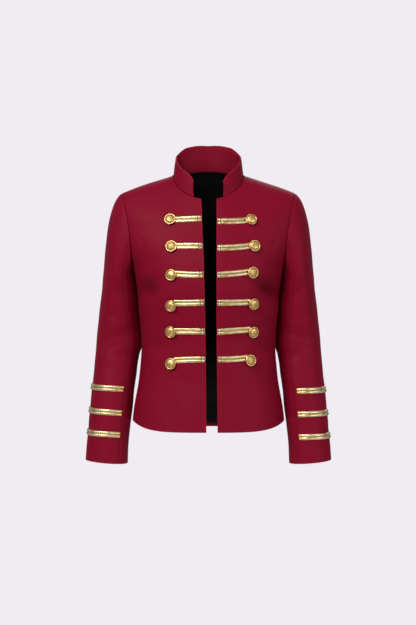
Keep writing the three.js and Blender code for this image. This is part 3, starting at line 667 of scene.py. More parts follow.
def graded(length, start, end, coarse):
    """Places from 0 to length: the steps of start in from one end and of end in from the other, with
    even steps of about coarse between them."""
    first, last = start[-1], length - end[-1]
    count = max(int(round((last - first) / coarse)), 2)
    return np.concatenate([start, np.linspace(first, last, count + 1)[1:-1], length - end[::-1]])


def travelled(points):
    """Distance gone along each polyline, whose points run down the first axis."""
    steps = np.linalg.norm(np.diff(points, axis=0), axis=-1)
    return np.concatenate([np.zeros_like(steps[:1]), np.cumsum(steps, axis=0)])


def knots_along(curve, places, low, high, samples=1601):
    """Parameters between low and high at which a curve has gone the given distances. curve(t) gives
    points, or several curves side by side, whose distances are averaged."""
    t = np.linspace(low, high, samples)
    gone = travelled(curve(t))
    gone = gone if gone.ndim == 1 else gone.mean(axis=1)
    return np.interp(places(gone[-1]), gone, t)


def grid_normals(grid, outward_of):
    """Unit normals from the cross product of central differences, turned away from outward_of."""
    down, across = np.gradient(grid, axis=(0, 1))
    normals = unit(np.cross(across, down))
    flip = np.sign(np.sum(normals * (grid - outward_of), axis=-1, keepdims=True))
    return normals * np.where(np.median(flip) < 0, -1, 1)


def smooth_rows(vectors, times=2):
    """Each vector of a row averaged with its neighbours, the ends kept."""
    for _ in range(times):
        vectors = np.concatenate(
            [vectors[:1], (vectors[:-2] + 2 * vectors[1:-1] + vectors[2:]) / 4, vectors[-1:]]
        )
    return unit(vectors)


def edge_outward(edge, normals, inside):
    """Directions in the cloth and square to its edge, away from the points just inside."""
    away = np.cross(np.gradient(edge, axis=0), normals)
    away = unit(away) * np.sign(np.sum(away * (edge - inside), axis=-1, keepdims=True))
    return smooth_rows(away)


def edge_distances(grid):
    """Distances along the grid's lines from its first and last column and its first and last row."""
    across = travelled(grid.transpose(1, 0, 2)).T
    up = travelled(grid)
    return {"start": across, "end": across[:, -1:] - across, "bottom": up, "top": up[-1:] - up}


def drawn_in(grid, normals, insets, reach=18.0):
    """The grid with each edge moved square into the cloth by its inset, dying out over the reach."""
    edges = {
        "start": (np.s_[:, 0], np.s_[:, 1], 1),
        "end": (np.s_[:, -1], np.s_[:, -2], 1),
        "bottom": (np.s_[0], np.s_[1], 0),
        "top": (np.s_[-1], np.s_[-2], 0),
    }
    distances = edge_distances(grid)
    moved = grid.copy()
    for name, inset in insets.items():
        edge, inside, axis = edges[name]
        away = np.expand_dims(edge_outward(grid[edge], normals[edge], grid[inside]), axis)
        fade = np.clip(1 - distances[name] / reach, 0, 1) ** 2
        moved -= away * (inset * fade)[..., None]
    return moved


def border(rows, columns):
    """Indices of a grid's border, once round, the way its faces turn."""
    index = np.arange(rows * columns).reshape(rows, columns)
    return np.concatenate([index[0, :-1], index[:-1, -1], index[-1, :0:-1], index[:0:-1, 0]])


def closed_wall(outer, inner, rim_steps=3):
    """Points and faces of a wall between two grids, closed by a half-round rim from one to the other."""
    rows, columns = outer.shape[:2]
    count = rows * columns
    index = np.arange(count).reshape(rows, columns)
    sheet = np.stack([index[:-1, :-1], index[:-1, 1:], index[1:, 1:], index[1:, :-1]], axis=-1).reshape(-1, 4)
    ring = border(rows, columns)
    flat_outer, flat_inner = outer.reshape(-1, 3), inner.reshape(-1, 3)
    middle = (flat_outer[ring] + flat_inner[ring]) / 2
    half = (flat_outer[ring] - flat_inner[ring]) / 2
    along = np.roll(middle, -1, axis=0) - np.roll(middle, 1, axis=0)
    away = unit(np.cross(along, half))
    core = flat_outer[ring] - outer.mean(axis=(0, 1))
    away *= np.where(np.sum(away * core) < 0, -1, 1)
    radius = np.linalg.norm(half, axis=-1, keepdims=True)
    angles = np.pi * np.arange(1, rim_steps + 1) / (rim_steps + 1)
    rims = [middle + half * np.cos(a) + away * radius * np.sin(a) for a in angles]
    rings = [ring] + [2 * count + k * len(ring) + np.arange(len(ring)) for k in range(rim_steps)]
    rings.append(ring + count)
    strips = [np.stack([np.roll(a, -1), a, b, np.roll(b, -1)], axis=-1) for a, b in zip(rings, rings[1:])]
    faces = np.concatenate([sheet, sheet[:, ::-1] + count, *strips])
    points = np.concatenate([flat_outer, flat_inner, *rims])
    source = np.concatenate([np.arange(count), np.arange(count), *[ring] * rim_steps])
    return points, faces, source, len(sheet)


def outward_faces(points, faces):
    """Faces turned so that the volume they enclose is positive."""
    a, b, c = (points[faces[:, k]] for k in range(3))
    d = points[faces[:, -1]]
    volume = np.sum(a * np.cross(b, c)) + np.sum(a * np.cross(c, d)) * (faces.shape[1] == 4)
    return faces if volume > 0 else faces[:, ::-1]


def write_mesh(name, points, faces, materials, uv=None, face_material=None, attributes=()):
    """A smooth mesh object at the origin, from points in millimetres and lists of faces."""
    mesh = bpy.data.meshes.new(name)
    mesh.from_pydata((points * MM).tolist(), [], [face for group in faces for face in group.tolist()])
    for material in materials:
        mesh.materials.append(material)
    mesh.polygons.foreach_set("use_smooth", np.ones(len(mesh.polygons), bool))
    if face_material is not None:
        mesh.polygons.foreach_set("material_index", face_material.astype(np.int32))
    if uv is not None:
        corner = np.empty(len(mesh.loops), np.int32)
        mesh.loops.foreach_get("vertex_index", corner)
        layer = mesh.uv_layers.new(name="weave")
        layer.data.foreach_set("uv", (uv[corner] * MM).astype(np.float32).ravel())
    for label, values in attributes:
        layer = mesh.attributes.new(label, "FLOAT", "POINT")
        layer.data.foreach_set("value", values.astype(np.float32))
    mesh.update()
    piece = bpy.data.objects.new(name, mesh)
    bpy.context.collection.objects.link(piece)
    return piece


def placed(piece, slot, *nodes):
    """The piece rides on the jacket's one body and stands for its solids; slot is not used."""
    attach(piece, "root")
    if nodes:
        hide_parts(*nodes)
    return piece


def cloth_piece(name, material, grid, centre, wall, insets, relief, lined=None, pressed=()):
    """A piece of cloth from a grid of its outer surface: edges drawn in by their insets, folds and seam
    rolls pressed in along the normals, and a closed wall. relief(grid, distances) gives the folds,
    lined(distances) where the inside is lining, and pressed names the free edges, which catch the
    light and get a painted highlight. Deep folds get painted shade."""
    normals = grid_normals(grid, centre)
    grid = drawn_in(grid, normals, insets)
    lift = relief(grid, edge_distances(grid))
    outer = grid + lift[..., None] * normals
    thickness = np.broadcast_to(wall, outer.shape[:2])
    inner = outer - grid_normals(outer, centre) * thickness[..., None]
    points, faces, source, sheet_faces = closed_wall(outer, inner)
    distances = edge_distances(outer)
    weave = np.stack([distances["start"], distances["bottom"]], axis=-1).reshape(-1, 2)[source]
    materials, face_material = [MATERIALS[material]], np.zeros(len(faces), int)
    if lined is not None:
        materials.append(MATERIALS["black lining"])
        face_material[sheet_faces : 2 * sheet_faces] = lined(distances)[:-1, :-1].ravel()
    # Painted highlight: the colour is lightened near the free edges.
    worn = sum((np.exp(-((distances[edge] / EDGE_HIGHLIGHT) ** 2)) for edge in pressed), 0 * outer[..., 0])
    edge_values = np.clip(worn, 0, 1).ravel()[source]
    # Painted shade: the colour darkens in the deepest folds.
    fold_shade_values = np.clip((-lift - DEEP_FOLD["starts"]) / DEEP_FOLD["span"], 0, 1).ravel()[source]
    piece = write_mesh(
        f"{name}_cloth",
        points,
        [outward_faces(points, faces)],
        materials,
        uv=weave,
        face_material=face_material,
        attributes=[("painted_edge_highlight", edge_values), ("painted_fold_shade", fold_shade_values)],
    )
    placed(piece, material.replace(" ", "_"), name)
    return piece


def edge_insets(wall, sewn=(), free=()):
    """How far each edge is drawn in: half the wall for its round rim, and half the seam's gap if sewn."""
    return {edge: wall / 2 + SEWN_INSET for edge in sewn} | {edge: wall / 2 for edge in free}


def sewn_in(distances, *edges):
    """Relief of the cloth rolling in along its sewn edges."""
    return -SEAM_ROLL["depth"] * sum(np.exp(-((distances[e] / SEAM_ROLL["reach"]) ** 2)) for e in edges)


def stitched_groove(distances, edge):
    """Relief of the shallow groove under a row of top stitches."""
    off = (distances[edge] - EDGE_STITCH["inset"]) / EDGE_STITCH["width"]
    return -EDGE_STITCH["depth"] * np.exp(-(off**2))


# ---- Body pieces ----


def body_columns(face, side):
    """Shares across a panel below the armpit and at its top, finer at its edges and at the neck point."""
    corner = float(share_at_top(face, side, NECK["half_width"]))
    first_steps = STITCHED_STEPS if face == "front" else CORNER_STEPS

    def top(t):
        return body_point(face, side, t, np.full_like(t, 2.0))

    neck = knots_along(top, lambda d: graded(d, first_steps, CORNER_STEPS, BODY_STEP["across"]), 0, corner)
    seam = knots_along(top, lambda d: graded(d, CORNER_STEPS, SEWN_STEPS, BODY_STEP["across"]), corner, 1)
    top_shares = np.concatenate([neck, seam[1:]])
    between = len(top_shares) - len(first_steps) - len(SEWN_STEPS)

    def chest(t):
        return body_point(face, side, t, np.full_like(t, BELOW_ARMPIT))

    def places(d):
        even = np.linspace(first_steps[-1], d - SEWN_STEPS[-1], between + 2)[1:-1]
        return np.concatenate([first_steps, even, d - SEWN_STEPS[::-1]])

    return knots_along(chest, places, 0, 1), top_shares


def body_rows():
    """Rows up a panel: even along the mean of four of its columns, finer at the hem and the top."""
    shares = np.array([0.03, 0.35, 0.65, 0.97])[None, :]

    def columns(t):
        return body_point("front", "left", np.broadcast_to(shares, (len(t), 4)), t[:, None] + 0 * shares)

    return knots_along(columns, lambda d: graded(d, STITCHED_STEPS, SEWN_STEPS, BODY_STEP["up"]), 0, 2)


def body_relief(face, side, x, z, share):
    """Folds, creases and unevenness of a body panel, which die out towards its side seam."""
    folds, creases, phase = BACK_FOLDS, BACK_CREASES, 4.0
    if face == "front":
        folds, creases, phase = FRONT_FOLDS[side], FRONT_CREASES[side], FRONT_PHASE[side]
    fade = 1 - np.clip(np.abs(share), 0, 1) ** SEAM_FADE
    return (fold_height(folds, x, z) + fold_height(creases, x, z) + waves(x, z, phase)) * fade


def body_centre(grid):
    """Points well inside the body, as high as the grid's own but no higher than the chest."""
    return stack(0, 10, np.minimum(grid[..., 2], CHEST_Z))


def front_panel(cloth, side):
    """A front: the body's surface from its front edge to the side seam and from the hem to the shoulder,
    with a crimson facing and hem turning inside."""
    shares, top_shares = body_columns("front", side)
    share, v = np.meshgrid(shares, body_rows())
    grid = body_point("front", side, share, v, top_shares[None, :])
    wall, facing, hem = cloth.body_wall / MM, cloth.facing / MM, cloth.hem_turning / MM

    def relief(places, distances):
        folds = body_relief("front", side, places[..., 0], places[..., 2], share)
        sewn = sewn_in(distances, "end", "top")
        return folds + sewn + stitched_groove(distances, "start")

    return cloth_piece(
        f"front_{side}",
        "crimson cloth",
        grid,
        body_centre(grid),
        wall,
        edge_insets(wall, sewn=("end", "top"), free=("start", "bottom")),
        relief,
        lined=lambda d: (d["start"] > facing) & (d["bottom"] > hem),
        pressed=("start", "bottom"),
    )


def back_grid(shares, top_shares, rows):
    """Grid of the whole back from signed shares, mirrored about the centre back."""
    share, v = np.meshgrid(shares, rows)
    grid = body_point("back", "left", np.abs(share), v, np.abs(top_shares)[None, :])
    grid[..., 0] *= np.sign(share)
    return grid, share


def back_panel(cloth):
    """The back: the body's surface between the side seams, in one piece, with a crimson hem turning."""
    halves = body_columns("back", "left")
    grid, share = back_grid(*(np.concatenate([-half[::-1], half[1:]]) for half in halves), body_rows())
    wall = cloth.body_wall / MM

    def relief(places, distances):
        folds = body_relief("back", "left", places[..., 0], places[..., 2], share)
        return folds + sewn_in(distances, "start", "end", "top")

    return cloth_piece(
        "back",
        "crimson cloth",
        grid,
        body_centre(grid),
        wall,
        edge_insets(wall, sewn=("start", "end", "top"), free=("bottom",)),
        relief,
        lined=lambda d: d["bottom"] > cloth.hem_turning / MM,
        pressed=("bottom",),
    )


def back_lining(cloth):
    """The back's own surface sunk inside it, from just above the hem to just below the neck seam."""
    drop = ARMHOLE["bottom_z"] - HEM["centre"]
    columns = np.linspace(-LINING["side_share"], LINING["side_share"], LINING_GRID["across"])
    rows = np.linspace(LINING["hem_margin"] / drop, LINING["top_share"], LINING_GRID["up"])
    grid, share = back_grid(columns, columns, rows)
    sunk = body_relief("back", "left", grid[..., 0], grid[..., 2], share) - LINING["sink"]
    grid = grid + sunk[..., None] * grid_normals(grid, body_centre(grid))
    return cloth_piece(
        "lining_back",
        "black lining",
        grid,
        body_centre(grid),
        cloth.lining_wall / MM,
        {},
        lambda places, distances: 0 * places[..., 0],
    )


# ---- Collar and sleeves ----


def collar_piece(cloth):
    """The stand collar from one front end round behind to the other, top-stitched along its upper edge."""
    end = np.radians(COLLAR["end_turn"])
    corner = np.arange(3.6, COLLAR["corner"] + 2, COLLAR_STEP["corner"])
    steps = np.concatenate([[0, 0.1, 0.4, 0.9, 1.6, 2.5], corner])
    turns = knots_along(
        collar_foot, lambda d: graded(d, steps, steps, COLLAR_STEP["along"]), end, 2 * np.pi - end
    )
    height = COLLAR_HEIGHTS["height"].mean()
    rows = graded(height, SEWN_STEPS, STITCHED_STEPS, COLLAR_STEP["up"]) / height
    turn, v = np.meshgrid(turns, rows)
    grid = collar_point(turn, v)
    wall, free = cloth.collar_wall / MM, ("start", "end", "top")

    def relief(places, distances):
        rough = COLLAR_WAVES
        wavy = waves(places[..., 0] * rough["around"], places[..., 2] * rough["up"], rough["phase"])
        faded = rough["height"] * wavy * np.clip(distances["bottom"] / rough["fade"], 0, 1)
        inset = EDGE_STITCH["inset"]
        stitched = (distances["start"] > inset) * (distances["end"] > inset)
        groove = stitched_groove(distances, "top") * stitched
        return faded + groove - rough["foot_roll"] * np.exp(-distances["bottom"])

    return cloth_piece(
        "collar",
        "crimson cloth",
        grid,
        stack(0, -5, grid[..., 2]),
        wall - COLLAR["slim_foot"] * np.exp(-((v * height / COLLAR["slim_reach"]) ** 2)),
        edge_insets(wall, free=free) | {"bottom": 0.5},
        relief,
        pressed=free,
    )


def sleeve_relief(turn, z):
    """Folds, creases and unevenness of a sleeve, the same on both sides of its back seam."""
    total = 0.0
    for wrapped in (turn, turn - 360):
        at = wrapped * GIRTH_PER_DEGREE
        total = total + fold_height(SLEEVE_FOLDS, at, z) + fold_height(SLEEVE_CREASES, at, z)
    lap = np.radians(turn)
    return total + waves(ARM_RADIUS * np.cos(lap), z + ARM_RADIUS * np.sin(lap), 3.3)


def sleeve_centre(grid, mirror):
    """Points on the middle line of a sleeve, as high as the grid's own but no higher than the chest."""
    z = np.minimum(grid[..., 2], FIRST_RING)
    x = (value_at(SLEEVE_RINGS, "outer", z) + value_at(SLEEVE_RINGS, "inner", z)) / 2
    return stack(x * mirror, value_at(SLEEVE_RINGS, "middle", z), np.minimum(grid[..., 2], CHEST_Z))


def sleeve_piece(cloth, side, piece):
    """A sleeve's top or under piece between its two long seams, from the armhole to the cuff, with a
    crimson turning inside the cuff."""
    mirror = SIGN[side]

    def lengthways(t):
        return sleeve_point(sleeve_turn(piece, np.full_like(t, 0.5), t), t)

    def crossways(t):
        low = np.full_like(t, BELOW_FIRST_RING)
        return sleeve_point(sleeve_turn(piece, t, low), low)

    rows = knots_along(lengthways, lambda d: graded(d, SEWN_STEPS, STITCHED_STEPS, SLEEVE_STEP["up"]), 0, 2)
    columns = knots_along(crossways, lambda d: graded(d, SEWN_STEPS, SEWN_STEPS, SLEEVE_STEP["across"]), 0, 1)
    u, v = np.meshgrid(columns, rows)
    turn = sleeve_turn(piece, u, v)
    grid = sleeve_point(turn, v) * np.array([mirror, 1, 1])
    wall = cloth.sleeve_wall / MM

    def relief(places, distances):
        return sleeve_relief(turn, places[..., 2]) + sewn_in(distances, "start", "end", "bottom")

    return cloth_piece(
        f"sleeve_{side}_{piece}",
        "crimson cloth",
        grid,
        sleeve_centre(grid, mirror),
        wall,
        edge_insets(wall, sewn=("start", "end"), free=("top",)) | {"bottom": wall / 2 - SEAM_GAP},
        relief,
        lined=lambda d: d["top"] > cloth.cuff_turning / MM,
        pressed=("top",),
    )


# ---- Tubes: braid, buttons and stitches ----


def tube_faces(copies, stations, sides):
    """Quads along closed tubes of rings, and triangles that fan from a centre point at each end. Each
    copy's points are its rings and then its two centre points."""
    size = stations * sides + 2
    base = (np.arange(copies) * size)[:, None, None, None]
    station, side = np.meshgrid(np.arange(stations - 1), np.arange(sides), indexing="ij")
    nearby = (side + 1) % sides
    a, b = station * sides + side, station * sides + nearby
    quads = np.stack([a, b, b + sides, a + sides], axis=-1)[None] + base
    ring, after = np.arange(sides), (np.arange(sides) + 1) % sides
    first = np.stack([after, ring, np.full(sides, size - 2)], axis=-1)
    last = np.stack([ring, after, np.full(sides, size - 1)], axis=-1)
    last[:, :2] += (stations - 1) * sides
    fans = np.concatenate([first, last])[None] + base[..., 0]
    return quads.reshape(-1, 4), fans.reshape(-1, 3)


def closed_tubes(name, rings, material, uv=None, attributes=(), tips=None):
    """Object of closed tubes from rings shaped (copies, stations, sides, 3), capped at each end."""
    copies, stations, sides = rings.shape[:3]
    if tips is None:
        tips = rings[:, [0, -1]].mean(axis=2)
    points = np.concatenate([rings.reshape(copies, -1, 3), tips], axis=1).reshape(-1, 3)
    quads, fans = tube_faces(copies, stations, sides)
    a, b, c = (rings[0][1:, 0], rings[0][1:, 1], rings[0][:-1, 0])
    middle = rings[0].mean(axis=1)[1:]
    inward = np.sum(np.cross(b - a, c - a) * (a - middle)) > 0
    if not inward:
        quads, fans = quads[:, ::-1], fans[:, ::-1]
    if uv is not None:
        ends = uv[:, [0, -1]].mean(axis=2)
        uv = np.concatenate([uv.reshape(copies, -1, 2), ends], axis=1).reshape(-1, 2)
    full = []
    for label, values in attributes:
        ends = values[:, [0, -1]].mean(axis=2)
        full.append((label, np.concatenate([values.reshape(copies, -1), ends], axis=1).ravel()))
    return write_mesh(name, points, [quads, fans], [material], uv=uv, attributes=full)


def thread_rings(line, side, up, radius):
    """Six-sided rings round a line of points, in the plane of its sideways and upward directions."""
    angle = np.arange(6) * np.pi / 3
    ring = side[..., None, :] * np.cos(angle)[:, None] + up[..., None, :] * np.sin(angle)[:, None]
    return line[..., None, :] + ring * radius


def braid_section(width, height):
    """Closed section of flat braid as (across, lift): two rounded ridges over a flat underside."""
    half = width / 2
    across = half * np.cos(np.linspace(np.pi, 0, BRAID_SECTION["steps"]))
    off = np.clip(np.abs(np.abs(across) - half / 2) / (half / 2), 0, 1)
    ridge = (1 - off ** BRAID_SECTION["ridge"]) ** 0.5
    floor = np.where(np.abs(across) < half / 2, BRAID_SECTION["valley"], BRAID_SECTION["rim"])
    top = np.stack([across, height * (floor + (1 - floor) * ridge)], axis=-1)
    reach = half * BRAID_SECTION["under_share"]
    under = np.stack([np.linspace(reach, -reach, 4), np.full(4, BRAID_SECTION["under"])], axis=-1)
    return np.concatenate([top, under])


def braid_rings(place, length, width, height, pitch, tacks=()):
    """Rings of a braid: its section carried along the cloth. place(share, across) gives the cloth's
    points and normals. The ridges twist like cord, rise and fall a little, and close at the ends."""
    section = braid_section(width, height)
    even = np.linspace(END_CLOSED, length - END_CLOSED, int(length / pitch * CORD["rings"]) + 1)
    gone = np.concatenate([BRAID_END, even, length - BRAID_END[::-1]])
    along, across = np.meshgrid(gone, section[:, 0], indexing="ij")
    lift = np.broadcast_to(section[:, 1], along.shape).copy()
    top = lift > 2 * BRAID_SECTION["under"]
    twist = CORD["twist"] * np.sin(2 * np.pi * along / pitch + CORD["lean"] * across)
    slow = np.sin(along / SLOW_RISE["reach"] + SLOW_RISE["start"] * np.sign(across))
    quick = np.sin(along / QUICK_RISE["reach"] + QUICK_RISE["start"])
    sway = SLOW_RISE["height"] * slow + QUICK_RISE["height"] * quick
    lift = lift + np.where(top, (twist + sway) * np.clip(lift / height, 0, 1), 0)
    to_end = np.minimum(along, length - along)
    lift = lerp(BRAID_SECTION["under"], lift, np.sqrt(np.clip(to_end / END_CLOSED, 0.02, 1)))
    for tack in tacks:
        pinch = np.exp(-(((along - (length - tack)) / PINCH["reach"]) ** 2))
        lift = np.where(top, lift * (1 - PINCH["lift"] * pinch), lift)
        across = across * (1 - PINCH["width"] * pinch)
    points, normals = place(along / length, across)
    rings = points + normals * lift[..., None]
    return rings[None], np.stack([along, across], axis=-1)[None]


def laid_braid(name, place, length, width, trim, tacks=()):
    """A braid object of its own length and width, laid on the cloth that place gives."""
    rings, uv = braid_rings(place, length, width, trim.braid_height / MM, trim.cord_pitch / MM, tacks)
    piece = closed_tubes(f"{name}_cord", rings, MATERIALS["gold braid"], uv=uv)
    return placed(piece, "gold_braid", name)


def front_place(side, x, z):
    """Points of a front's cloth and its unit normals at x and z, from differences of its depth."""
    share = np.clip(share_at_top("front", side, np.abs(x)), 0, 1)

    def depth(at_x, at_z):
        return body_y("front", at_x, at_z) - body_relief("front", side, at_x, at_z, share)

    step = 0.8
    slope_x = (depth(x + step, z) - depth(x - step, z)) / (2 * step)
    slope_z = (depth(x, z + step) - depth(x, z - step)) / (2 * step)
    return stack(x, depth(x, z), z), unit(stack(slope_x, -1, slope_z))


def chest_braid(trim, side, row):
    """A braid from beside its button to the front edge, sagging by a parabola between them."""
    sign = SIGN[side]
    rows = CHEST_ROWS[side]
    outer_x = abs(rows["button_x"][row]) - BRAID["shank_room"]
    outer_z, inner_z = rows["outer"][row], rows["inner"][row]
    inner_x = float(front_edge_x(side, np.array(inner_z))) + BRAID["edge_inset"]

    def place(share, across):
        x = sign * lerp(outer_x, inner_x, share)
        z = lerp(outer_z, inner_z, share) - rows["sag"][row] * 4 * share * (1 - share) + across
        return front_place(side, x, z)

    length = float(np.hypot(outer_x - inner_x, outer_z - inner_z)) * BRAID["slack"]
    width = trim.chest_braid_width / MM
    return laid_braid(f"braid_{side}_{row + 1}", place, length, width, trim, BRAID["tacks"])


def outward_normal(surface, turn, z, step):
    """Unit normals of a surface round the arm, from differences over a step each way, turned outwards."""
    here = surface(turn, z)
    ahead = surface(turn + step, z) - surface(turn - step, z)
    below = surface(turn, z - step) - surface(turn, z + step)
    normal = unit(np.cross(ahead, below))
    off_axis = (here - sleeve_centre(here, 1)) * [1, 1, 0]
    return normal * np.sign(np.sum(normal * off_axis, axis=-1, keepdims=True))


def cuff_place(side, turn, z):
    """Points of a sleeve's cloth and its unit normals at a turn and height."""

    def skin(at_turn, at_z):
        normal = outward_normal(ring_point, at_turn, at_z, 0.5)
        return ring_point(at_turn, at_z) + sleeve_relief(at_turn, at_z)[..., None] * normal

    mirror = np.array([SIGN[side], 1, 1])
    return skin(turn, z) * mirror, outward_normal(skin, turn, z, 0.8) * mirror


def cuff_braid(trim, side, row):
    """A braid round the outside of the arm, level behind and sloping to its front end."""
    outer, inner, front = (CUFF_ROWS[side][column][row] for column in ("outer", "inner", "end"))
    back = float(value_at(SLEEVE_SEAMS, "back", np.array(outer))) + CUFF_BRAID_GAP

    def place(share, across):
        turn = lerp(back, front, share)
        z = lerp(outer, inner, np.maximum(turn, 0) / front) + across
        return cuff_place(side, turn, z)

    line = place(np.linspace(0, 1, 200), np.zeros(200))[0]
    length = float(travelled(line)[-1])
    return laid_braid(f"cuff_braid_{side}_{row + 1}", place, length, trim.cuff_braid_width / MM, trim)


def smooth_step(value, low, high):
    """Smooth step from 0 below low to 1 above high."""
    t = np.clip((value - low) / (high - low), 0, 1)
    return t * t * (3 - 2 * t)


def button_face(radius, height, petals, twists, sides):
    """Top of a button in rings outwards: a dome with a round boss, a rosette of raised petals, a groove
    and a rope-twisted rim. Gives radii, turns, heights and how deep in a crevice each point lies."""
    dome_share = np.linspace(FACE_RINGS["first"], FACE_RINGS["last"], FACE_RINGS["dome"])
    share = np.concatenate([dome_share, np.linspace(GROOVE["out"], 1.0, FACE_RINGS["rim"])])
    angle = np.arange(sides) * 2 * np.pi / sides
    r, a = np.meshgrid(share, angle, indexing="ij")
    base = BUTTON["rim_height"] + BUTTON["edge"]
    cap = np.clip(1 - (r / DOME["reach"]) ** 2, 0, 1) ** DOME["shape"]
    dome = base + (height - base - DOME["drop"]) * cap
    boss = BOSS["height"] * np.clip(1 - (r / BOSS["reach"]) ** 2, 0, 1) ** 0.5
    reach = np.clip((r - PETALS["from"]) / PETALS["span"], 0, 1)
    spread = np.maximum(np.sin(np.pi * reach) ** PETALS["shape"], 1e-3)
    off = np.abs(((a * petals / (2 * np.pi) + 0.5) % 1) - 0.5) * 2
    petal = np.clip(1 - (off / spread) ** 2, 0, 1) ** 0.5 * (reach > 0) * (reach < 1)
    vein = PETALS["vein"] * np.exp(-((off / PETALS["vein_width"]) ** 2)) * petal
    inner = PETALS["height"] * (petal - vein) + boss
    across = (r - ROPE["middle"]) / ROPE["half"]
    around = np.clip(np.abs(across), 0, 1)
    rope = (1 - around**2) ** 0.5 * (1 + ROPE["twist"] * np.sin(twists * a + ROPE["slant"] * across))
    on_rim = r > GROOVE["rim"]
    top = np.where(on_rim, base - ROPE["sink"] + ROPE["height"] * rope, dome + inner)
    rim_crevice = (1 - np.clip(rope, 0, 1)) * (r < ROPE["middle"])
    face_crevice = 1 - np.clip(petal - vein * 2 + boss * 2, 0, 1)
    groove = smooth_step(r, GROOVE["from"], GROOVE["deep"])
    groove = groove * (1 - smooth_step(r, GROOVE["out"], GROOVE["to"]))
    return r * radius, a, top, np.maximum(np.where(on_rim, rim_crevice, face_crevice), groove)


def button(trim, side, row, sides=144):
    """A domed shank button: its face, rounded edge, flat back and shank, stood on the cloth."""
    radius, height = trim.button_radius / MM, trim.button_height / MM
    r, a, top, crevice = button_face(radius, height, trim.petals, trim.rope_twists, sides)
    shank, back, foot = BUTTON["shank"] / radius, BUTTON["rim_height"], BUTTON["foot"]
    # The underside and shank count as crevice: painted shade where the button faces the cloth.
    under = table(
        "share lift crevice",
        (1.0, back + 0.55, 0),
        (0.985, back + 0.15, 0.2),
        (0.95, back, 0.6),
        (0.6, back - 0.1, 1),
        (shank, back - 0.15, 1),
        (shank, 2.4, 1),
        (shank * 0.97, foot, 1),
    )
    under_r, under_lift, under_crevice = (np.repeat(c[:, None], sides, axis=1) for c in under.values())
    r = np.concatenate([r, under_r * radius])
    a = np.concatenate([a, np.repeat(a[:1], len(under_r), axis=0)])
    lift = np.concatenate([top, under_lift])
    hollow = np.concatenate([crevice, under_crevice])
    rows = CHEST_ROWS[side]
    x, z = rows["button_x"][row], rows["button"][row]
    (foot_point,), (normal,) = front_place(side, np.array([x]), np.array([z]))
    across = unit(np.cross([0, 0, 1.0], normal))
    up = np.cross(normal, across)
    turned = a + BUTTON_TURN["row"] * row + BUTTON_TURN["left"] * (side == "left")
    rings = (
        foot_point
        + (r * np.cos(turned))[..., None] * across
        + (r * np.sin(turned))[..., None] * up
        + lift[..., None] * normal
    )
    crown = foot_point + normal * (lift[0].mean() + 0.02)
    heel = foot_point + normal * foot
    name = f"button_{side}_{row + 1}"
    piece = closed_tubes(
        f"{name}_gilt",
        rings[None],
        MATERIALS["gilt button"],
        attributes=[("crevice", hollow[None])],
        tips=np.stack([crown, heel])[None],
    )
    return placed(piece, "gold_button", name)


def stitches(name, trim, points, normals):
    """A row of short stitches along a path on the cloth: each is a thread that dips in at both ends."""
    length, thread = trim.stitch_length / MM, trim.thread / MM
    gone = travelled(points)
    step = length + STITCH_GAP
    count = int(gone[-1] // step)
    starts = (gone[-1] - count * step) / 2 + step * np.arange(count) + STITCH_GAP / 2
    at = starts[:, None] + STITCH["along"] * length
    line = np.stack([np.interp(at, gone, points[:, k]) for k in range(3)], axis=-1)
    up = unit(np.stack([np.interp(at, gone, normals[:, k]) for k in range(3)], axis=-1))
    along = unit(np.gradient(line, axis=1))
    side = np.cross(along, up)
    lift, swell = thread * STITCH["lift"], thread / 2 * STITCH["swell"]
    rings = thread_rings(line + up * lift[:, None], side, up, swell[:, None, None])
    return placed(closed_tubes(name, rings, MATERIALS["crimson thread"]), "crimson_cloth")


def front_edge_stitches(trim, side):
    """Top stitches down a front, a fixed distance in from its edge."""
    z = np.linspace(HEM["centre"] + 9, -60, 500)
    x = SIGN[side] * (front_edge_x(side, z) + EDGE_STITCH["inset"])
    points, normals = front_place(side, x, z)
    return stitches(f"edge_stitches_{side}", trim, points - normals * EDGE_STITCH["depth"], normals)


def braid_tacks(trim, side):
    """Bar tacks: short threads across each chest braid where it is sewn down near the front edge."""
    width = trim.chest_braid_width / MM
    half, count = width / 2 * TACK_THREADS["cover"], TACK_THREADS["steps"]
    across = np.linspace(-half, half, count)
    top = braid_section(width, trim.braid_height / MM)[: BRAID_SECTION["steps"]]
    lift = np.interp(across, top[:, 0], top[:, 1]) * TACK_THREADS["pinched"] + TACK_THREADS["rise"]
    rings = []
    for inner_z in CHEST_ROWS[side]["inner"]:
        edge = float(front_edge_x(side, np.array(inner_z))) + BRAID["edge_inset"]
        for shift in (tack + step for tack in BRAID["tacks"] for step in TACK_THREADS["shifts"]):
            x = np.full(count, SIGN[side] * (edge + shift))
            points, normals = front_place(side, x, inner_z + across)
            line = points + normals * lift[:, None]
            flank = np.cross(unit(np.gradient(line, axis=0)), normals)
            rings.append(thread_rings(line, flank, normals, TACK_THREADS["radius"]))
    piece = closed_tubes(f"braid_tacks_{side}", np.array(rings), MATERIALS["gold thread"])
    return placed(piece, "gold_braid")


def collar_stitches(trim):
    """Top stitches along the collar's upper edge, ending where its corners begin."""
    end = np.radians(COLLAR["end_turn"] + 15)
    turn = np.linspace(end, 2 * np.pi - end, 700)
    tall = value_at(COLLAR_HEIGHTS, "height", np.degrees(np.minimum(turn, 2 * np.pi - turn)))
    v = 1 - EDGE_STITCH["inset"] / tall
    points = collar_point(turn, v)
    along, up = np.gradient(points, axis=0), collar_point(turn, v + 0.01) - points
    normals = unit(np.cross(along, up))
    normals *= np.sign(np.sum(normals * points * [1, 1, 0], axis=-1, keepdims=True))
    return stitches("collar_stitches", trim, points - normals * (EDGE_STITCH["depth"] - 0.1), normals)


# ---- Materials ----

MATERIALS = {}
GROUPS = {}

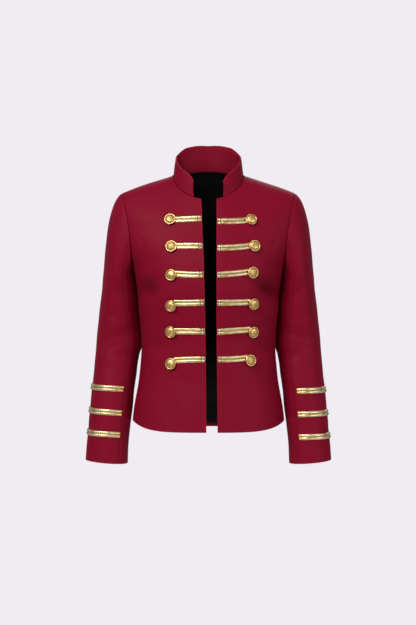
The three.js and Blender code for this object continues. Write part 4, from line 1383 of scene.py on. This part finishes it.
# Twill: rise of its ribs and fall of the finer thread for each step across, and turns of wave in radians.
RIB_SLANT, THREAD_SLANT = 0.6, 1.7
FULL_TURN, TWO_TURNS = 6.2832, 12.566
SLUB_SCALE = 420
GLINT_SCALE = 130
# Painted shade: a dark line along the braid's middle, where its two ridges meet, and its colour.
GROOVE_HALF_WIDTH = 0.0011  # metres of dark line on each side of the braid's middle
GROOVE_SHADE_COLOUR = (0.11, 0.055, 0.012, 1)
DEEP_GOLD = (0.72, 0.49, 0.18, 1)
# Painted reflections: stretches of pale and deep gold along a braid, standing in for the changing light off
# its metal: the noise's scale and detail, and the values it spreads.
GLEAM = {"scale": 46.0, "detail": 1.2, "low": 0.36, "high": 0.66}
# Painted shade: the cloth darkens towards a dark copy of its colour in deep folds.
FOLD_SHADE = {"colour": 0.3, "share": 0.72}  # of the cloth's colour, and how much of it in the deepest fold
# The gilt is darker in its crevices, and has painted shade on its underside and shank.
CREVICE_DARKENING = (0.42, 0.28, 0.16)  # share of the gilt's red, green and blue left in a crevice


def add_node(tree, kind, **settings):
    """A new node with its own properties set."""
    node = tree.nodes.new(kind)
    for key, value in settings.items():
        setattr(node, key, value)
    return node


def feed(tree, socket, value):
    """Links a socket to an input, or sets the input to a plain value."""
    if isinstance(value, bpy.types.NodeSocket):
        tree.links.new(value, socket)
    else:
        socket.default_value = value


def maths(tree, operation, *values):
    """Result of a Math node on sockets or plain values."""
    node = add_node(tree, "ShaderNodeMath", operation=operation)
    for socket, value in zip(node.inputs, values):
        feed(tree, socket, value)
    return node.outputs[0]


def mixed(tree, share, first, second):
    """Colour between two colours by a share."""
    node = add_node(tree, "ShaderNodeMix", data_type="RGBA")
    feed(tree, node.inputs["Factor"], share)
    feed(tree, node.inputs[6], first)
    feed(tree, node.inputs[7], second)
    return node.outputs[2]


def summed(tree, first, first_share, second, second_share):
    """Sum of two values, each by its share."""
    parts = [maths(tree, "MULTIPLY", v, k) for v, k in ((first, first_share), (second, second_share))]
    return maths(tree, "ADD", *parts)


def ripple(tree, phase):
    """Sine wave of a phase in radians, from 0 to 1."""
    return maths(tree, "MULTIPLY_ADD", maths(tree, "SINE", phase), 0.5, 0.5)


def clouds(tree, place, **settings):
    """Soft noise over a place, with the given settings or sockets."""
    noise = add_node(tree, "ShaderNodeTexNoise")
    tree.links.new(place, noise.inputs["Vector"])
    for label, value in settings.items():
        feed(tree, noise.inputs[label], value)
    return noise.outputs[0]


def new_group(name, inputs, outputs):
    """A shader node group with named float or vector sockets, and its two end nodes."""
    group = bpy.data.node_groups.new(name, "ShaderNodeTree")
    for label, kind, default in inputs:
        socket = group.interface.new_socket(label, in_out="INPUT", socket_type=kind)
        if default is not None:
            socket.default_value = default
    for label in outputs:
        group.interface.new_socket(label, in_out="OUTPUT", socket_type="NodeSocketFloat")
    GROUPS[name] = group
    return group, group.nodes.new("NodeGroupInput"), group.nodes.new("NodeGroupOutput")


def twill_group():
    """Steep twill ribs crossed by a finer thread, as Height, and the same with slubs, as Tone."""
    inputs = [("Place", "NodeSocketVector", None), ("Pitch", "NodeSocketFloat", 0.0008)]
    tree, start, end = new_group("Twill weave", inputs, ("Height", "Tone"))
    axes = add_node(tree, "ShaderNodeSeparateXYZ")
    tree.links.new(start.outputs["Place"], axes.inputs[0])
    across, up = (maths(tree, "DIVIDE", axes.outputs[k], start.outputs["Pitch"]) for k in (0, 1))
    rib = maths(tree, "ADD", across, maths(tree, "MULTIPLY", up, RIB_SLANT))
    thread = maths(tree, "SUBTRACT", across, maths(tree, "MULTIPLY", up, THREAD_SLANT))
    ribs = ripple(tree, maths(tree, "MULTIPLY", rib, FULL_TURN))
    fine = ripple(tree, maths(tree, "MULTIPLY", thread, TWO_TURNS))
    height = summed(tree, ribs, 0.7, fine, 0.3)
    slub = clouds(tree, start.outputs["Place"], Scale=SLUB_SCALE)
    tree.links.new(height, end.inputs["Height"])
    tree.links.new(summed(tree, height, 0.6, slub, 0.4), end.inputs["Tone"])


def variation_group():
    """Broad soft clouds and finer mottling of the dye, as one value around a half."""
    inputs = [
        ("Place", "NodeSocketVector", None),
        ("Clouds", "NodeSocketFloat", 7.0),
        ("Mottle", "NodeSocketFloat", 160.0),
    ]
    tree, start, end = new_group("Dye variation", inputs, ("Value",))
    place = start.outputs["Place"]
    broad = clouds(tree, place, Detail=3, Scale=start.outputs["Clouds"])
    fine = clouds(tree, place, Detail=2, Scale=start.outputs["Mottle"])
    tree.links.new(summed(tree, broad, 0.65, fine, 0.35), end.inputs["Value"])


def metal_thread_group():
    """Fine slanted metallic threads that lean the other way on each ridge, as Height and Tone, whose noise
    is partly painted glints, and painted shade along the line between the ridges, as Groove."""
    inputs = [("Place", "NodeSocketVector", None), ("Pitch", "NodeSocketFloat", 0.00075)]
    tree, start, end = new_group("Metal thread", inputs, ("Height", "Tone", "Groove"))
    axes = add_node(tree, "ShaderNodeSeparateXYZ")
    tree.links.new(start.outputs["Place"], axes.inputs[0])
    along = maths(tree, "DIVIDE", axes.outputs[0], start.outputs["Pitch"])
    off = maths(tree, "ABSOLUTE", axes.outputs[1])
    across = maths(tree, "DIVIDE", off, start.outputs["Pitch"])
    groove = maths(tree, "SUBTRACT", 1.0, maths(tree, "DIVIDE", off, GROOVE_HALF_WIDTH))
    groove.node.use_clamp = True
    threads = ripple(tree, maths(tree, "MULTIPLY", maths(tree, "ADD", along, across), FULL_TURN))
    # Partly painted glints: noise that makes some threads brighter, besides their own tone.
    glint = clouds(tree, start.outputs["Place"], Scale=GLINT_SCALE, Detail=3)
    tree.links.new(groove, end.inputs["Groove"])
    tree.links.new(threads, end.inputs["Height"])
    tree.links.new(summed(tree, threads, 0.3, glint, 0.7), end.inputs["Tone"])


def new_material(name, **constants):
    """A material with a Principled shader whose constant sockets are set, its tree and the shader."""
    material = bpy.data.materials.new(name)
    material.use_nodes = True
    tree = material.node_tree
    tree.nodes.clear()
    shader = add_node(tree, "ShaderNodeBsdfPrincipled")
    output = add_node(tree, "ShaderNodeOutputMaterial")
    tree.links.new(shader.outputs[0], output.inputs[0])
    for label, value in constants.items():
        shader.inputs[label.replace("_", " ")].default_value = value
    MATERIALS[name] = material
    return tree, shader


def use_group(tree, name, place, **values):
    """A shader node group at a place, with its own values."""
    node = add_node(tree, "ShaderNodeGroup")
    node.node_tree = GROUPS[name]
    tree.links.new(place, node.inputs["Place"])
    for label, value in values.items():
        node.inputs[label].default_value = value
    return node


def bumped(tree, shader, height, strength, distance):
    """Feeds a height through a Bump node to the shader's normal."""
    bump = add_node(tree, "ShaderNodeBump")
    bump.inputs["Strength"].default_value = strength
    bump.inputs["Distance"].default_value = distance
    tree.links.new(height, bump.inputs["Height"])
    tree.links.new(bump.outputs[0], shader.inputs["Normal"])


def shade(colour, factor):
    """The colour darkened or lightened by a factor, with full alpha."""
    return tuple(min(c * factor, 1) for c in colour[:3]) + (1,)


def object_place(tree):
    """Place in the object's own coordinates, for patterns in the dye."""
    return add_node(tree, "ShaderNodeTexCoord").outputs["Object"]


def surface_place(tree):
    """Place on the surface in metres, for patterns that follow the weave."""
    return add_node(tree, "ShaderNodeUVMap", uv_map="weave").outputs[0]


def painted(tree, attribute, share):
    """A piece's own attribute by a share."""
    mark = add_node(tree, "ShaderNodeAttribute", attribute_name=attribute)
    return maths(tree, "MULTIPLY", mark.outputs["Fac"], share)


def woven_material(name, colour, pitch, roughness, gloss, sheen_tint, highlight_colour=None):
    """Dyed twill: ribs in the relief, tone and dye clouds in the colour and the gloss, painted shade in deep
    folds, and a painted highlight near free edges when an edge colour is given.
    """
    tree, shader = new_material(name, Sheen_Weight=0.05, Sheen_Roughness=0.4, Sheen_Tint=sheen_tint)
    shader.inputs["Specular IOR Level"].default_value = gloss
    weave = use_group(tree, "Twill weave", surface_place(tree), Pitch=pitch)
    dye = use_group(tree, "Dye variation", object_place(tree)).outputs["Value"]
    tone = summed(tree, weave.outputs["Tone"], 0.45, dye, 0.55)
    body = mixed(tree, tone, shade(colour, 0.86), shade(colour, 1.14))
    # Painted highlight: a lighter colour near the free edges.
    if highlight_colour is not None:
        body = mixed(tree, painted(tree, "painted_edge_highlight", 0.4), body, highlight_colour)
    # Painted shade: the colour goes towards its dark copy in deep folds.
    deepest = shade(colour, FOLD_SHADE["colour"])
    body = mixed(tree, painted(tree, "painted_fold_shade", FOLD_SHADE["share"]), body, deepest)
    feed(tree, shader.inputs["Base Color"], body)
    low, span = roughness
    feed(tree, shader.inputs["Roughness"], maths(tree, "MULTIPLY_ADD", dye, span, low))
    bumped(tree, shader, weave.outputs["Height"], strength=0.22, distance=0.00012)


def gold_braid_material(colour):
    """Metallic braid: slanted threads in relief, brighter and duller threads in colour and gloss, partly
    painted glints, stretches of pale and of deep gold along it as painted reflections, and painted shade
    along the line between its ridges."""
    tree, shader = new_material("gold braid", Metallic=0.92)
    place = surface_place(tree)
    threads = use_group(tree, "Metal thread", place)
    gleam = clouds(tree, place, Scale=GLEAM["scale"], Detail=GLEAM["detail"])
    gleam.node.noise_dimensions = "2D"
    spread = add_node(tree, "ShaderNodeMapRange")
    spread.inputs["From Min"].default_value = GLEAM["low"]
    spread.inputs["From Max"].default_value = GLEAM["high"]
    tree.links.new(gleam, spread.inputs["Value"])
    stretch = spread.outputs["Result"]
    # Painted reflections: pale stretches and brighter threads stand in for light off the metal.
    bright = mixed(tree, stretch, DEEP_GOLD, shade(colour, 1.2))
    dull = mixed(tree, stretch, shade(DEEP_GOLD, 0.72), shade(colour, 0.78))
    plain = mixed(tree, threads.outputs["Tone"], dull, bright)
    # Painted shade: the colour goes dark brown along the line between the ridges.
    groove = maths(tree, "MULTIPLY", threads.outputs["Groove"], 0.9)
    feed(tree, shader.inputs["Base Color"], mixed(tree, groove, plain, GROOVE_SHADE_COLOUR))
    feed(tree, shader.inputs["Roughness"], maths(tree, "MULTIPLY_ADD", threads.outputs["Tone"], 0.2, 0.22))
    bumped(tree, shader, threads.outputs["Height"], strength=0.26, distance=0.0002)


def gilt_button_material(colour):
    """Gilt metal: polished where raised, darker and duller in the crevices, with painted shade on the
    underside and shank, faintly mottled.
    """
    tree, shader = new_material("gilt button", Metallic=1.0)
    mottle = use_group(tree, "Dye variation", object_place(tree), Clouds=90.0, Mottle=900.0).outputs["Value"]
    polished = mixed(tree, mottle, shade(colour, 0.9), shade(colour, 1.1))
    crevice_colour = tuple(c * k for c, k in zip(colour, CREVICE_DARKENING)) + (1,)
    # Darker in the crevices, with painted shade on the underside and shank.
    feed(tree, shader.inputs["Base Color"], mixed(tree, painted(tree, "crevice", 0.85), polished, crevice_colour))
    polish = maths(tree, "MULTIPLY_ADD", mottle, 0.12, 0.25)
    rough = maths(tree, "ADD", painted(tree, "crevice", 0.25), polish)
    feed(tree, shader.inputs["Roughness"], rough)
    bumped(tree, shader, mottle, strength=0.12, distance=0.0002)


def thread_material(name, colour, metallic):
    """Sewing thread: a plain colour mottled along its length."""
    tree, shader = new_material(name, Metallic=metallic)
    dye = use_group(tree, "Dye variation", object_place(tree), Clouds=300.0, Mottle=1500.0)
    mottle = dye.outputs["Value"]
    feed(tree, shader.inputs["Base Color"], mixed(tree, mottle, shade(colour, 0.8), shade(colour, 1.2)))
    feed(tree, shader.inputs["Roughness"], maths(tree, "MULTIPLY_ADD", mottle, 0.2, 0.4))


def make_materials(cloth, trim):
    """The shader node groups, and then every material of the jacket."""
    twill_group()
    variation_group()
    metal_thread_group()
    crimson, lining = tuple(cloth.crimson), tuple(cloth.lining)
    woven_material(
        "crimson cloth",
        crimson,
        pitch=0.0009,
        roughness=(0.5, 0.14),
        gloss=0.085,
        sheen_tint=(0.9, 0.12, 0.22, 1),
        highlight_colour=(0.29, 0.012, 0.035, 1),
    )
    woven_material(
        "black lining", lining, pitch=0.0005, roughness=(0.4, 0.14), gloss=0.12, sheen_tint=(0.6, 0.6, 0.7, 1)
    )
    gold_braid_material(tuple(trim.braid_gold))
    gilt_button_material(tuple(trim.button_gold))
    thread_material("crimson thread", tuple(c * 1.1 for c in crimson), metallic=0.0)
    thread_material("gold thread", tuple(c * 0.28 for c in trim.braid_gold), metallic=0.8)


# ---- Studio ----

# Soft boxes: place, what they face, width, height and power in watts.
SOFT_BOXES = (
    ("key_light", (-1.5, -2.5, 1.7), (0, 0, -0.25), 1.6, 1.5, 100),
    ("fill_light", (2.2, -2.3, 0.1), (0, 0, -0.35), 1.4, 1.8, 29),
    ("back_light", (0.4, 2.4, 1.6), (0, 0, -0.2), 2.0, 1.2, 28),
)
WORLD_GLOW = 0.36
CAMERA_X = -0.001
FLOOR = {"radius": 1.15, "thickness": 0.02}


def soft_box(name, place, target, width, height, power):
    """A rectangular light turned to face its target."""
    light = bpy.data.lights.new(name, "AREA")
    light.shape = "RECTANGLE"
    light.size, light.size_y, light.energy = width, height, power
    lamp = bpy.data.objects.new(name, light)
    lamp.location = place
    lamp.rotation_euler = (Vector(target) - Vector(place)).to_track_quat("-Z", "Y").to_euler()
    bpy.context.collection.objects.link(lamp)


def backdrop_world(colour):
    """Plain backdrop for the camera, and a dimmer even glow for everything else."""
    world = bpy.data.worlds.new("studio")
    world.use_nodes = True
    tree = world.node_tree
    tree.nodes.clear()
    seen, glow = add_node(tree, "ShaderNodeBackground"), add_node(tree, "ShaderNodeBackground")
    for node, strength in ((seen, 1.0), (glow, WORLD_GLOW)):
        node.inputs["Color"].default_value = (*colour, 1)
        node.inputs["Strength"].default_value = strength
    path, mix = add_node(tree, "ShaderNodeLightPath"), add_node(tree, "ShaderNodeMixShader")
    output = add_node(tree, "ShaderNodeOutputWorld")
    tree.links.new(path.outputs["Is Camera Ray"], mix.inputs[0])
    tree.links.new(glow.outputs[0], mix.inputs[1])
    tree.links.new(seen.outputs[0], mix.inputs[2])
    tree.links.new(mix.outputs[0], output.inputs[0])
    bpy.context.scene.world = world


def studio_floor(colour, floor_z):
    """A round pale floor with a thin edge."""
    angle = np.linspace(0, 2 * np.pi, 96, endpoint=False)
    radius, low, high = FLOOR["radius"] / MM, (floor_z - FLOOR["thickness"]) / MM, floor_z / MM
    rings = np.stack([stack(radius * np.cos(angle), radius * np.sin(angle), z) for z in (low, high)])
    tree, shader = new_material("pale floor", Roughness=0.8)
    mottle = use_group(tree, "Dye variation", object_place(tree)).outputs["Value"]
    feed(tree, shader.inputs["Base Color"], mixed(tree, mottle, shade(colour, 0.97), shade(colour, 1.0)))
    closed_tubes("floor", rings[None], MATERIALS["pale floor"])


def studio_camera(scene, studio):
    """A level camera that looks along +Y."""
    lens = bpy.data.cameras.new("camera")
    lens.lens = studio.lens
    camera = bpy.data.objects.new("camera", lens)
    camera.location = (CAMERA_X, -studio.distance, studio.camera_z)
    camera.rotation_euler = (np.pi / 2, 0, 0)
    bpy.context.collection.objects.link(camera)
    scene.camera = camera


# ---- Operators ----


class JacketOperator:
    """What the operators share: they work on the scene's settings and can be undone."""

    bl_options = {"REGISTER", "UNDO"}

    def execute(self, context):
        self.build(context.scene.jacket_cloth, context.scene.jacket_trim)
        return {"FINISHED"}


class JACKET_OT_fronts(JacketOperator, bpy.types.Operator):
    """Make the two fronts"""

    bl_idname = "jacket.fronts"
    bl_label = "Fronts"

    def build(self, cloth, trim):
        for side in SIGN:
            front_panel(cloth, side)


class JACKET_OT_back(JacketOperator, bpy.types.Operator):
    """Make the back"""

    bl_idname = "jacket.back"
    bl_label = "Back"

    def build(self, cloth, trim):
        back_panel(cloth)


class JACKET_OT_lining(JacketOperator, bpy.types.Operator):
    """Make the lining of the back"""

    bl_idname = "jacket.lining"
    bl_label = "Back lining"

    def build(self, cloth, trim):
        back_lining(cloth)


class JACKET_OT_collar(JacketOperator, bpy.types.Operator):
    """Make the stand collar"""

    bl_idname = "jacket.collar"
    bl_label = "Collar"

    def build(self, cloth, trim):
        collar_piece(cloth)


class JACKET_OT_sleeves(JacketOperator, bpy.types.Operator):
    """Make the top and under pieces of both sleeves"""

    bl_idname = "jacket.sleeves"
    bl_label = "Sleeves"

    def build(self, cloth, trim):
        for side in SIGN:
            for piece in ("top", "under"):
                sleeve_piece(cloth, side, piece)


class JACKET_OT_chest_braid(JacketOperator, bpy.types.Operator):
    """Lay the six rows of braid on each front, with their bar tacks"""

    bl_idname = "jacket.chest_braid"
    bl_label = "Chest braid"

    def build(self, cloth, trim):
        for side, rows in CHEST_ROWS.items():
            for row in range(len(rows["button"])):
                chest_braid(trim, side, row)
            braid_tacks(trim, side)


class JACKET_OT_cuff_braid(JacketOperator, bpy.types.Operator):
    """Lay the three rows of braid round each sleeve"""

    bl_idname = "jacket.cuff_braid"
    bl_label = "Cuff braid"

    def build(self, cloth, trim):
        for side, rows in CUFF_ROWS.items():
            for row in range(len(rows["outer"])):
                cuff_braid(trim, side, row)


class JACKET_OT_buttons(JacketOperator, bpy.types.Operator):
    """Sew on the twelve domed buttons"""

    bl_idname = "jacket.buttons"
    bl_label = "Buttons"

    def build(self, cloth, trim):
        for side, rows in CHEST_ROWS.items():
            for row in range(len(rows["button"])):
                button(trim, side, row)


class JACKET_OT_stitching(JacketOperator, bpy.types.Operator):
    """Sew the top stitches of the front edges and the collar"""

    bl_idname = "jacket.stitching"
    bl_label = "Stitching"

    def build(self, cloth, trim):
        for side in SIGN:
            front_edge_stitches(trim, side)
        collar_stitches(trim)


class JACKET_OT_studio(JacketOperator, bpy.types.Operator):
    """Set up the floor, the backdrop, the soft boxes and the camera"""

    bl_idname = "jacket.studio"
    bl_label = "Studio"

    def execute(self, context):
        studio = context.scene.jacket_studio
        studio_floor(studio.backdrop, studio.floor_z)
        backdrop_world(tuple(studio.backdrop))
        for box in SOFT_BOXES:
            soft_box(*box)
        studio_camera(context.scene, studio)
        context.scene.view_settings.view_transform = "Standard"
        return {"FINISHED"}


PIECE_OPERATORS = (
    JACKET_OT_fronts,
    JACKET_OT_back,
    JACKET_OT_lining,
    JACKET_OT_collar,
    JACKET_OT_sleeves,
    JACKET_OT_chest_braid,
    JACKET_OT_cuff_braid,
    JACKET_OT_buttons,
    JACKET_OT_stitching,
    JACKET_OT_studio,
)


class JACKET_PT_panel(bpy.types.Panel):
    """Sidebar panel with the jacket's pieces in the order in which they are made"""

    bl_label = "Parade jacket"
    bl_idname = "JACKET_PT_panel"
    bl_space_type = "VIEW_3D"
    bl_region_type = "UI"
    bl_category = "Jacket"

    def draw(self, context):
        for operator in PIECE_OPERATORS:
            self.layout.operator(operator.bl_idname)


SETTINGS = {
    "jacket_cloth": JACKET_PG_cloth,
    "jacket_trim": JACKET_PG_trim,
    "jacket_studio": JACKET_PG_studio,
}
CLASSES = (*SETTINGS.values(), *PIECE_OPERATORS, JACKET_PT_panel)


def register():
    """Registers the settings, the operators and the panel, and puts the settings on the scene."""
    for cls in CLASSES:
        bpy.utils.register_class(cls)
    for name, group in SETTINGS.items():
        setattr(bpy.types.Scene, name, PointerProperty(type=group))


def unregister():
    """Takes away what register() adds, in reverse."""
    for name in SETTINGS:
        delattr(bpy.types.Scene, name)
    for cls in reversed(CLASSES):
        bpy.utils.unregister_class(cls)


def main():
    """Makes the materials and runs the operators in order."""
    register()
    scene = bpy.context.scene
    make_materials(scene.jacket_cloth, scene.jacket_trim)
    for operator in PIECE_OPERATORS:
        group, call = operator.bl_idname.split(".")
        getattr(getattr(bpy.ops, group), call)()


if __name__ == "__main__":
    main()
